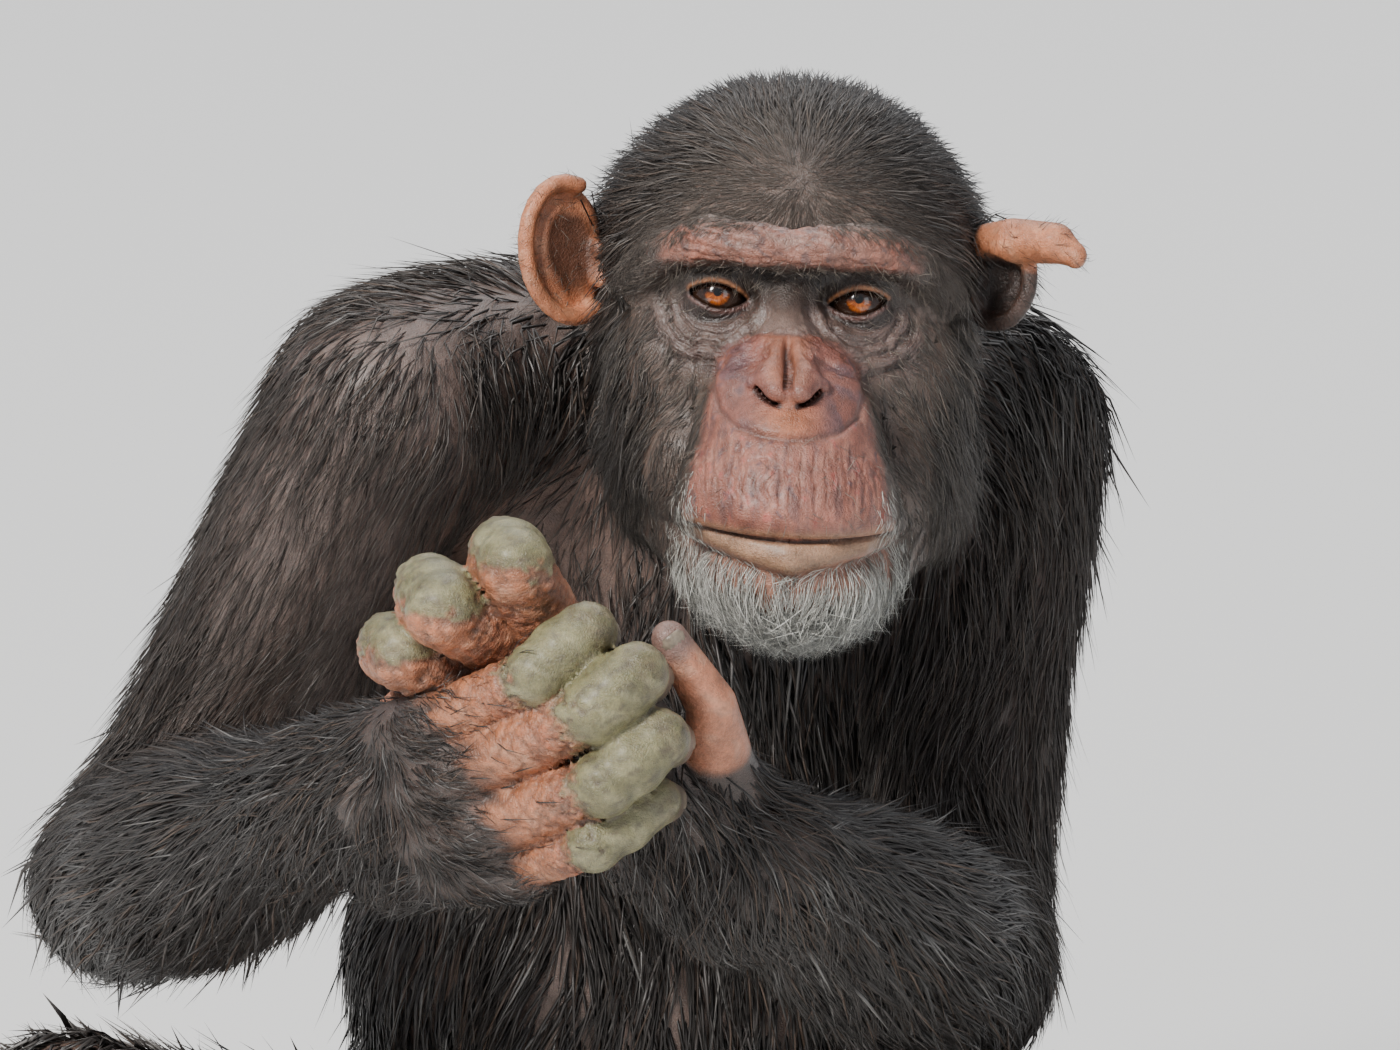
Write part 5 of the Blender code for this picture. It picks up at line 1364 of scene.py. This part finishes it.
def wisp_piece(name, roots, clay, lie, shape, tones, unwrap, finish, draw, segments=3, place=None):
    """Wisps as closed three-sided blades that taper to a point.

    Each starts under its root and is carried over the surface along the lie, held at a height that grows to
    its tip and pulled in to the middle of its lock.

    shape gives the length, width and lift at the tip of each wisp; how closely they cling and how far they
    stray; then the size of a lock, and how much its wisps gather to its middle.
    """
    length, width, lift, cling, stray, lock, gather = shape
    count = len(roots)
    away, out = clay.feel(roots)
    roots = roots - out * away[:, None]
    pull, shake = lock_pull(roots, lock, 40)
    twist = draw.normal(0, 1, (count, 3)) * stray + shake * stray * 1.3
    roll = draw.uniform(-0.9, 0.9, count)[:, None]
    sink = length * 0.035
    shares = np.array((0.0, 0.30, 0.66, 1.0)) if segments == 3 else np.array((0.0, 0.5, 1.0))
    widths = (0.75, 1.0, 0.72) if segments == 3 else (0.8, 0.85)
    spot = roots - out * sink[:, None]
    rows = []
    for number, share in enumerate(shares):
        way = unit(lie(spot) + twist)
        way = unit(way - out * (way * out).sum(1, keepdims=True))
        if number:
            draw_in = pull - out * (pull * out).sum(1, keepdims=True)
            step = (share - shares[number - 1])
            spot = spot + way * (length * step)[:, None] + draw_in * (gather * step)
            away, out = clay.feel(spot)
            height = lift * share ** 1.25
            fix = np.where(away < height, height - away, (height - away) * cling)
            spot = spot + out * fix[:, None]
        side = unit(np.cross(out, way))
        side = side * np.cos(roll) + out * np.sin(roll)
        up = np.cross(way, side)
        if number < segments:
            half = (width * widths[number] / 2)[:, None]
            rows += [spot - side * half, spot + up * half * 0.5, spot + side * half]
        else:
            rows.append(spot)
    corners = np.stack(rows, 1)
    per = corners.shape[1]
    pattern = []
    for ring in range(segments - 1):
        for s in range(3):
            a, b = ring * 3 + s, ring * 3 + (s + 1) % 3
            pattern += [(a, b + 3, b), (a, a + 3, b + 3)]
    last = (segments - 1) * 3
    pattern += [(last + s, per - 1, last + (s + 1) % 3) for s in range(3)] + [(0, 1, 2)]
    faces = (np.arange(count)[:, None, None] * per + np.array(pattern)[None]).reshape(-1, 3)
    places = corners.reshape(-1, 3)
    made = mesh_piece(name, places if place is None else place(places), faces)
    share = np.concatenate((np.repeat(shares[:-1], 3), shares[-1:]))
    across = np.concatenate((np.tile((0.0, 0.5, 1.0), segments), (0.5,)))
    root_tone, tip_tone = tones
    tone = root_tone[:, None] + (tip_tone - root_tone)[:, None] * (share ** 0.8)[None, :, None]
    give_colour(made, "tone", tone.reshape(-1, 3))
    spread = np.clip(unwrap(roots), 0.002, 0.998)
    patch = spread[:, None] + np.stack((across - 0.5, share - 0.5), -1)[None] * 0.003
    strand = np.broadcast_to(np.stack((across, share), -1), (count, per, 2)) + draw.random((count, 1, 2)) * 40
    for layer, uv in (("OFBake", patch), ("Strand", strand)):
        uv = uv.reshape(-1, 2)[faces.ravel()].astype(np.float32)
        made.data.uv_layers.new(name=layer).data.foreach_set("uv", uv.ravel())
    made.data.materials.append(finish)
    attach(made, "root")
    return made


def hair_finish(name, low, high, sheen):
    """Hair: the wisp's own tone, with fine streaks along it that vary tone, roughness and height."""
    hair = Finish(name)
    streaks = hair.noise(hair.scaled(hair.layer("Strand"), (7.0, 1.2, 1.0)), 1.0, 1.5)
    colour = hair.shaded(hair.attribute("tone"), hair.span(streaks, 0.3, 0.7, 0.6, 1.45))
    hair.put(Base_Color=colour, Roughness=hair.span(streaks, 0.3, 0.7, low, high),
             Sheen_Weight=sheen, Sheen_Roughness=0.4, Specular_IOR_Level=0.6)
    hair.bump(streaks, 0.5, 0.0004)
    return hair.made


BLACK_HAIR = hair_finish("black hair", 0.34, 0.54, 0.0)
FACE_HAIR = hair_finish("fine face hair", 0.38, 0.58, 0.04)
WHITE_HAIR = hair_finish("white hair", 0.40, 0.60, 0.12)
DARK_TONE, TIP_TONE = np.array((0.016, 0.0135, 0.0130)), np.array((0.044, 0.038, 0.035))
# The grey tone is partly grey hair and partly a painted glint of light on black hair
RUST_TONE, GREY_AND_GLINT_TONE = np.array((0.085, 0.055, 0.038)), np.array((0.23, 0.22, 0.21))


def dark_tones(count, draw, rust=0.12, grey=0.035):
    """Near-black roots and lighter tips, each wisp its own shade, some rusty and a few grey: partly grey hair
    and partly painted glints, the light that black hair catches.
    """
    shade = draw.uniform(0.6, 1.7, (count, 1))
    root, tip = DARK_TONE * shade, TIP_TONE * shade
    tip = np.where(draw.random((count, 1)) < rust, RUST_TONE * shade, tip)
    return root, np.where(draw.random((count, 1)) < grey, GREY_AND_GLINT_TONE, tip)


WHORL = np.array((4.0, -6.0, 61.0))


def head_lie(points):
    """Away from the whorl on the forehead, over the crown and temples; lower, down and a little outward."""
    x, y, z = points.T
    spread = unit(points - WHORL)
    side = np.tanh(x / 14)
    down = unit(np.stack((side * 0.40, 0.22 + 0 * x, -0.86 + 0 * x), -1))
    share = fade(z, 26, -22)[:, None]
    return unit(spread * (1 - share) + down * share)


def head_wrap(points):
    """Unwraps the head as a globe round its middle."""
    away = points - (0, 55, -15)
    return np.stack((np.arctan2(away[:, 0], -away[:, 1]) / (2 * math.pi) + 0.5,
                     np.arctan2(away[:, 2], np.hypot(away[:, 0], away[:, 1])) / math.pi + 0.5), -1)


def head_coat(name, roots, shape, tones, finish, draw, segments=2, lie=head_lie):
    """One length of the head's coat: its wisps grow in the head's millimetres and are then put in place."""
    wisp_piece(name, roots, head_clay, lie, shape, tones, head_wrap, finish, draw, segments, on_head)


def toward(tones, root, tip, share):
    """Root and tip tones mixed toward two others by each wisp's share."""
    return tones[0] + (root - tones[0]) * share, tones[1] + (tip - tones[1]) * share


def forehead_coat():
    """Fine flat hairs from the whorl to the brow and temples, thin enough for the skin to show."""
    draw = np.random.default_rng(60)

    def density(p):
        """Thickest off the face's edge, a little thinner round the whorl."""
        x, y, z = p.T
        centre = bell(np.hypot((x - 4) * 0.9, (z - 52) * 0.7), 0, 34)
        edge = fade(face_edge(p), -3, 5)
        return edge * off_ears(p) * fade(z, -4, 14) * (1 - 0.10 * centre) * fade(y, 62, 40)

    roots = sow(*head_mesh, density, 17000, draw)
    x, y, z = roots.T
    long = fade(y, 5, 50)
    length = (9 + 10 * long) * draw.uniform(0.7, 1.3, len(x))
    width = (0.27 + 0.22 * long) * draw.uniform(0.7, 1.3, len(x))
    lift = (0.9 + 2.4 * long) * draw.uniform(0.4, 1.7, len(x))
    tones = dark_tones(len(x), draw)
    pale = np.array((0.170, 0.132, 0.106))
    share = (0.35 + 0.65 * draw.uniform(0.0, 1.0, (len(x), 1))) * (1 - 0.45 * long[:, None])
    head_coat("coat_forehead", roots, (length, width, lift, 0.85, 0.16, 12.0, 0.08),
              toward(tones, pale * 0.5, pale, share), FACE_HAIR, draw)


def crown_coat():
    """Longer, glossier hair over the top, the sides and behind the ears; it stands out most at the sides."""
    draw = np.random.default_rng(61)

    def density(p):
        """Even over the top and back, from the forehead's edge."""
        _, y, z = p.T
        return fade(face_edge(p), 4, 14) * off_ears(p) * fade(z, -12, 12) * fade(y, 14, 44)

    roots = sow(*head_mesh, density, 13000, draw)
    x, y, z = roots.T
    sides = fade(np.abs(x), 44, 74)
    length = (24 + 9 * sides) * draw.uniform(0.7, 1.3, len(x))
    width = 0.85 * draw.uniform(0.6, 1.3, len(x))
    lift = (7.0 + 5.0 * sides * fade(z, 80, 40) + 2 * fade(x, -40, -70)) * draw.uniform(0.35, 1.4, len(x))
    tones = dark_tones(len(x), draw)
    front = (fade(y, 80, 20) * draw.uniform(0.0, 0.9, len(x)))[:, None]
    pale = np.array((0.125, 0.098, 0.080))
    head_coat("coat_crown", roots, (length, width, lift, 0.8, 0.12, 11.0, 0.28),
              toward(tones, pale * 0.55, pale, front), BLACK_HAIR, draw)


def cheek_coat():
    """Fine hair beside the eyes and muzzle, growing into the long whiskers that hang over the jaw."""
    draw = np.random.default_rng(62)

    def density(p):
        """From the bare face's edge back to the nape, and not under the chin."""
        _, y, z = p.T
        edge = face_edge(p)
        low = fade(z, -132, -112) + fade(y, 20, 50)
        return fade(edge, -3, 4) * off_ears(p) * fade(z, 20, -4) * np.clip(low, 0, 1) * fade(y, 112, 96)

    roots = sow(*head_mesh, density, 17000, draw)
    x, _, z = roots.T
    outer = fade(face_edge(roots), 12, 42)
    length = (9 + 26 * outer * fade(z, 20, -30) + 10 * outer) * draw.uniform(0.7, 1.3, len(x))
    width = (0.27 + 0.55 * outer) * draw.uniform(0.6, 1.2, len(x))
    width = width * np.where(draw.random(len(x)) < 0.12, 1.7, 1.0)
    lift = (1.2 + 11.0 * outer) * draw.uniform(0.3, 1.5, len(x))
    tones = dark_tones(len(x), draw, grey=0.05)
    inner = ((1 - 0.80 * outer) * (0.10 + 0.90 * draw.uniform(0.0, 1.0, len(x)) ** 2.6))[:, None]
    pale = np.array((0.24, 0.20, 0.165))
    head_coat("coat_cheeks", roots, (length, width, lift, 0.40, 0.17, 12.0, 0.30),
              toward(tones, pale * 0.5, pale, inner), FACE_HAIR, draw)


def nape_coat():
    """The longest hair of the head: it hangs from behind the ears over the neck, in thick locks."""
    draw = np.random.default_rng(63)

    def density(p):
        """Low at the back of the head."""
        _, y, z = p.T
        return off_ears(p) * fade(z, 8, -14) * fade(y, 92, 106) * fade(z, -118, -104)

    roots = sow(*head_mesh, density, 4300, draw)
    length = 64 * draw.uniform(0.75, 1.25, len(roots))
    width = 1.6 * draw.uniform(0.6, 1.3, len(roots))
    lift = 11 * draw.uniform(0.4, 1.5, len(roots))
    head_coat("coat_nape", roots, (length, width, lift, 0.6, 0.14, 14.0, 0.45), dark_tones(len(roots), draw),
              BLACK_HAIR, draw, 3)


def beard_coat():
    """White hair round the chin and up the sides of the muzzle, hanging and a little curled."""
    draw = np.random.default_rng(64)

    def density(p):
        """The chin below the lower lip, thin in its middle, and a strip up each side of the muzzle."""
        x, y, z = p.T
        chin = fade(z, lip_droop(x) - 0.5, lip_droop(x) - 3.5) * fade(z, -150, -138)
        chin = chin * fade(y, 42, 22) * fade(np.abs(x), 54, 44)
        chin *= 1 - 0.6 * bell(np.hypot((x + 2) / 14, (z + 120) / 6.0), 0, 1)
        sides = bell(np.abs(x), np.interp(z, (-110, -95, -78, -60), (41, 43, 41, 37)), 3.6)
        sides *= fade(z, -114, -108) * fade(z, -66, -90) * fade(y, 30, 8)
        return np.clip(chin + sides * 0.9, 0, 1)

    roots = sow(*head_mesh, density, 8000, draw)
    x, _, z = roots.T
    low = fade(z, -98, -122)
    length = (5.0 + 21 * low * fade(np.abs(x), 60, 30) + 5 * low) * draw.uniform(0.5, 1.6, len(x))
    width = (0.27 + 0.13 * low) * draw.uniform(0.7, 1.3, len(x))
    lift = (1.2 + 8.0 * low) * draw.uniform(0.2, 1.6, len(x))

    def lie(points):
        """Straight down, a little forward and spreading."""
        return unit(points * (0.0005, 0, 0) + (0, -0.16, -1.0))

    shade = draw.uniform(0.25, 1.20, (len(x), 1))
    root, tip = np.array((0.50, 0.48, 0.42)) * shade, np.array((0.86, 0.86, 0.80)) * shade
    shape = (length, width, lift, 0.02, 0.15, 9.0, 0.50)
    head_coat("coat_beard", roots, shape, (root, tip), WHITE_HAIR, draw, 3, lie)


def stray_coat():
    """Single hairs: in the hollow under the brow, on the ears, on the bags under the eyes and on the lip."""
    draw = np.random.default_rng(65)

    def density(p):
        """A strip under the brow, the ears' folds, the bags under the eyes, and a few on the lip."""
        x, y, z = p.T
        brow = bell(z, 11, 5) * fade(np.abs(x), 62, 50) * fade(y, 40, 10) * 1.6
        ears = (1 - off_ears(p)) * (0.4 + 0.8 * fade(x, 70, 76) * fade(z, 26, 20))
        cheek = fade(z, 4, -4) * fade(z, -50, -36) * fade(np.abs(x), 28, 34) * fade(np.abs(x), 52, 46)
        cheek = cheek * fade(y, 40, 20)
        lip = fade(z, -55, -62) * fade(z, -96, -90) * fade(np.abs(x), 46, 40) * fade(y, 5, -10) * 0.10
        return brow + ears * 0.6 + cheek * 0.4 + lip

    roots = sow(*head_mesh, density, 2000, draw)
    length = 6.5 * draw.uniform(0.6, 1.5, len(roots))
    width = 0.26 * draw.uniform(0.8, 1.2, len(roots))
    lift = 3.5 * draw.uniform(0.5, 1.5, len(roots))
    shade = draw.uniform(0.1, 1.2, (len(roots), 1))
    pale = np.array((0.30, 0.25, 0.20)) * shade * np.where(roots[:, 0] > 68, 0.15, 1.0)[:, None]
    head_coat("coat_strays", roots, (length, width, lift, 0.2, 0.35, 9.0, 0.2), (pale * 0.6, pale),
              FACE_HAIR, draw)


for coat in (forehead_coat, crown_coat, cheek_coat, nape_coat, beard_coat, stray_coat):
    coat()

# Coat of the body. The same hair, long and black: it falls down the back, chest and flanks, runs
# down the upper arms and legs, and from the wrists back to the elbows, where it meets in a fringe.
# It is thin on the shoulders and the inner arms, where the skin shows, and stops at the knuckles.

# How much the hair of each length of a limb droops from the way along it
LIMB_DROOP = {"upper_": 0.12, "fore_": 0.28, "thigh_": 0.15, "shank_": 0}


def body_lie(points):
    """Down the trunk and out over the shoulders; along each limb, and up the forearm towards the elbow."""
    share, z = limb_side(points), points[:, 2]
    middle = np.stack((0.030 + 0 * z, 0.01 - 0.13 * fade(z, 0.50, 0.60), z), -1)
    out = unit((points - middle) * (1, 1, 0))
    shoulder = fade(z, 0.46, 0.60)[:, None]
    down = np.array((0, 0, -1.0))
    total = (down + out * (0.10 + 1.3 * shoulder)) * share["trunk"][:, None]
    total = total + (down * 0.8 + out * 0.7) * share["neck"][:, None]
    for which in BOTH:
        for name, (start, end, _) in LIMBS.items():
            way = unit(end[which] - start[which]) * (-1 if name == "fore_" else 1) + down * LIMB_DROOP[name]
            total = total + way * share[name + which][:, None]
    return unit(total + 0.22 * np.stack([swirl(points, 0.11, 70 + i) for i in range(3)], -1))


def round_line(a, b):
    """Unwraps a limb: the turn round its line, and the way along it."""
    a, b = np.asarray(a, float), np.asarray(b, float)
    axis = unit(b - a)
    first = unit(np.cross(axis, (0.1, 0.9, 0.3)))
    second = np.cross(axis, first)

    def wrap(points):
        """The turn, by two directions square to the line, and the share of the line."""
        away = points - a
        along = (away @ axis) / np.linalg.norm(b - a)
        turn = np.arctan2(away @ first, away @ second) / (2 * math.pi)
        return np.stack((turn + 0.5, 0.15 + along * 0.7), -1)

    return wrap


# Where the coat is thin: a spot, how far it reaches, and how thin the coat gets
THIN_SPOTS = ((SHOULDER["right"] + (-0.02, -0.03, -0.03), 0.085, 1.0), ((-0.155, -0.15, 0.44), 0.07, 0.8),
              ((0.165, -0.11, 0.42), 0.06, 0.6), (INNER_SHOULDER, 0.055, 1.1), (OUTER_ARM, 0.07, 0.7))


def thin_places(points):
    """How thin the coat is at each point, from 0 to 1: the sum of soft spots on shoulder, breast and arms."""
    return np.clip(sum(near_spot(points, spot, reach) * thin for spot, reach, thin in THIN_SPOTS), 0, 1)


def body_piece(name, seed, count, part_share, length, width, lift, wrap, hang=0):
    """One length of the coat: roots in step with that part's share of the body, sized as given.

    Wisps are shorter, finer and browner in the thin places, and shorter near the floor; hang is what they
    gain from the chest down to the belly.
    """
    draw = np.random.default_rng(seed)

    def density(p):
        """The part's share, more in front, less in the thin places, none on the floor or inside the head."""
        front = 1 + 0.9 * fade(p[:, 1], 0.05, -0.08)
        clear = fade(p[:, 2], 0.012, 0.03)
        head = from_head(p)
        covered = fade(head[:, 2], -75, -60) * fade(np.hypot(head[:, 0], head[:, 1] - 60), 85, 70)
        return part_share(p) * front * clear * (1 - 0.25 * thin_places(p)) * (1 - covered)

    roots = sow(*body_mesh, density, count, draw)
    thin = thin_places(roots)
    some = len(roots)
    size = (length + hang * fade(roots[:, 2], 0.5, 0.2)) * (1 - 0.40 * thin) * draw.uniform(0.65, 1.3, some)
    stands = np.where(draw.random(some) < 0.06, 2.0, 1.0)
    rise = lift * draw.uniform(0.35, 1.35, some) * stands * (1 - 0.45 * thin)
    near_floor = fade(roots[:, 2], 0.02, 0.12)
    size = size * (0.45 + 0.55 * near_floor)
    width = width * (1 - 0.62 * thin) * draw.uniform(0.6, 1.4, some)
    shape = (size, width, rise, 0.75, 0.11, 0.020, 0.40 * (1 - 0.75 * thin[:, None]))
    tones = dark_tones(some, draw, grey=0.05)
    brown = (thin * draw.uniform(0.3, 1.0, some))[:, None]
    tones = toward(tones, np.array((0.075, 0.054, 0.044)), np.array((0.115, 0.092, 0.078)), brown)
    wisp_piece(name, roots, body_clay, body_lie, shape, tones, wrap, BLACK_HAIR, draw, 2, clear_of_floor)


def clear_of_floor(places):
    """Bends what would reach the floor so that it lies just over it."""
    low = places[:, 2] < 0.004
    places = places.copy()
    places[low, 2] = 0.004 - (places[low, 2] - 0.004) * 0.05
    return places


def trunk_wrap(points):
    """Unwraps the trunk: the turn round its middle, and the height."""
    away = points - (0.015, 0.01, 0)
    return np.stack((np.arctan2(away[:, 0], -away[:, 1]) / (2 * math.pi) + 0.5, 0.1 + points[:, 2] * 1.2), -1)


def trunk_side(start, end):
    """The share of the trunk and neck, front or back, as a function of points: 0 at start and 1 at end."""

    def part_share(points):
        """The two shares, faded along a line that slants back to the left."""
        share = limb_side(points)
        return (share["trunk"] + share["neck"]) * fade(points[:, 1] + 0.25 * points[:, 0], start, end)

    return part_share


def limb_share(name):
    """The share of one length of a limb, as a function of points."""
    return lambda points: limb_side(points)[name]


# The limbs' coats: name, length of limb, seed, number of wisps, and a wisp's length, width and lift
LIMB_COATS = (
    ("upper_arm_", "upper_", 83, 8200, 0.056, 0.0013, 0.0085),
    ("forearm_", "fore_", 85, 7000, 0.056, 0.0015, 0.0085),
    ("thigh_", "thigh_", 87, 3600, 0.056, 0.0024, 0.010),
    ("shank_", "shank_", 89, 2500, 0.046, 0.0022, 0.008),
)
body_piece("coat_chest", 81, 10500, trunk_side(0.03, 0.01), 0.052, 0.0019, 0.009, trunk_wrap, hang=0.010)
body_piece("coat_back", 82, 12000, trunk_side(0.01, 0.03), 0.072, 0.0024, 0.013, trunk_wrap)
for number, which in enumerate(BOTH):
    for name, limb, seed, count, length, width, lift in LIMB_COATS:
        start, end, _ = LIMBS[limb]
        body_piece("coat_" + name + which, seed + number, count, limb_share(limb + which), length, width,
                   lift, round_line(start[which], end[which]))

HAND_SEEDS, HAND_WISPS = {"right": 93, "left": 94}, {"right": 6400, "left": 5000}
FOOT_SEEDS = {"right": 95, "left": 96}


def hand_coat(which):
    """Black hair on the back of the hand and wrist; it thins out at the knuckles and leaves thumbs bare."""
    draw = np.random.default_rng(HAND_SEEDS[which])
    wrist = WRIST[which]
    knuckle = np.mean([finger[0] for finger in FINGERS[which]], axis=0)
    way = unit(knuckle - wrist)
    reach = np.linalg.norm(knuckle - wrist)

    def density(p):
        """From the forearm to the knuckles, sparse where a finger starts, none on the thumb."""
        t = (p - wrist) @ way / reach
        finger = np.min([reach_to(p, line[:2]) for line in FINGERS[which]], axis=0)
        over = fade(t, 1.20, 0.94) * fade(t, -1.6, -1.3) * (0.06 + 0.94 * fade(finger, 0.009, 0.018))
        thumb = fade(reach_to(p, thumb_line(which)), 0.013, 0.019)
        return (over + 0.04 * fade(t, 1.6, 1.2)) * thumb

    roots = sow(*hand_mesh[which], density, HAND_WISPS[which], draw)
    t = (roots - wrist) @ way / reach
    size = (0.036 - 0.018 * fade(t, 0.2, 1.0)) * draw.uniform(0.7, 1.3, len(roots))
    width = (0.0011 - 0.0005 * fade(t, 0, 1)) * draw.uniform(0.7, 1.3, len(roots))
    lift = (0.0075 - 0.0045 * fade(t, 0, 1)) * draw.uniform(0.4, 1.5, len(roots))

    def lie(points):
        """Along the hand to the knuckles, turning back towards the elbow behind the wrist, and drooping."""
        t = (points - wrist) @ way / reach
        back = fade(t, 0.95, 0.45)[:, None]
        up = unit(ELBOW[which] - wrist) + np.array((0, 0, -0.35))
        return unit(way * (1 - back) + up * back + np.array((0, 0, -0.25)))

    wisp_piece("coat_hand_" + which, roots, hand_clay[which], lie,
               (size, width, lift, 0.6, 0.18, 0.012, 0.40),
               dark_tones(len(roots), draw, rust=0.2, grey=0.08),
               round_line(wrist - way * reach * 0.5, knuckle), BLACK_HAIR, draw, 2)


def foot_coat(which):
    """Short hair over the instep and ankle."""
    draw = np.random.default_rng(FOOT_SEEDS[which])
    at = foot_frame(which)
    ahead = unit(at(1, 0, 0) - at(0, 0, 0))

    def density(p):
        """Over the sole's edge, and no further ahead than the instep."""
        return fade(p[:, 2], 0.018, 0.032) * fade((p - ANKLE[which]) @ ahead, 0.10, 0.05)

    roots = sow(*foot_mesh[which], density, 1100, draw)
    size = (0.020 + 0.014 * fade(roots[:, 2], 0.05, 0.09)) * draw.uniform(0.7, 1.3, len(roots))
    width = 0.0019 * draw.uniform(0.7, 1.3, len(roots))
    lift = 0.005 * draw.uniform(0.4, 1.5, len(roots))

    def lie(points):
        """Ahead and down, everywhere alike."""
        return unit(ahead * 0.7 + np.array((0, 0, -0.5)) + 0 * points)

    wisp_piece("coat_foot_" + which, roots, foot_clay[which], lie, (size, width, lift, 0.7, 0.2, 0.014, 0.45),
               dark_tones(len(roots), draw, rust=0.2),
               round_line(at(-0.03, 0, 0.02), at(0.12, 0, 0.02)), BLACK_HAIR, draw, 2, clear_of_floor)


for which in BOTH:
    hand_coat(which)
    foot_coat(which)
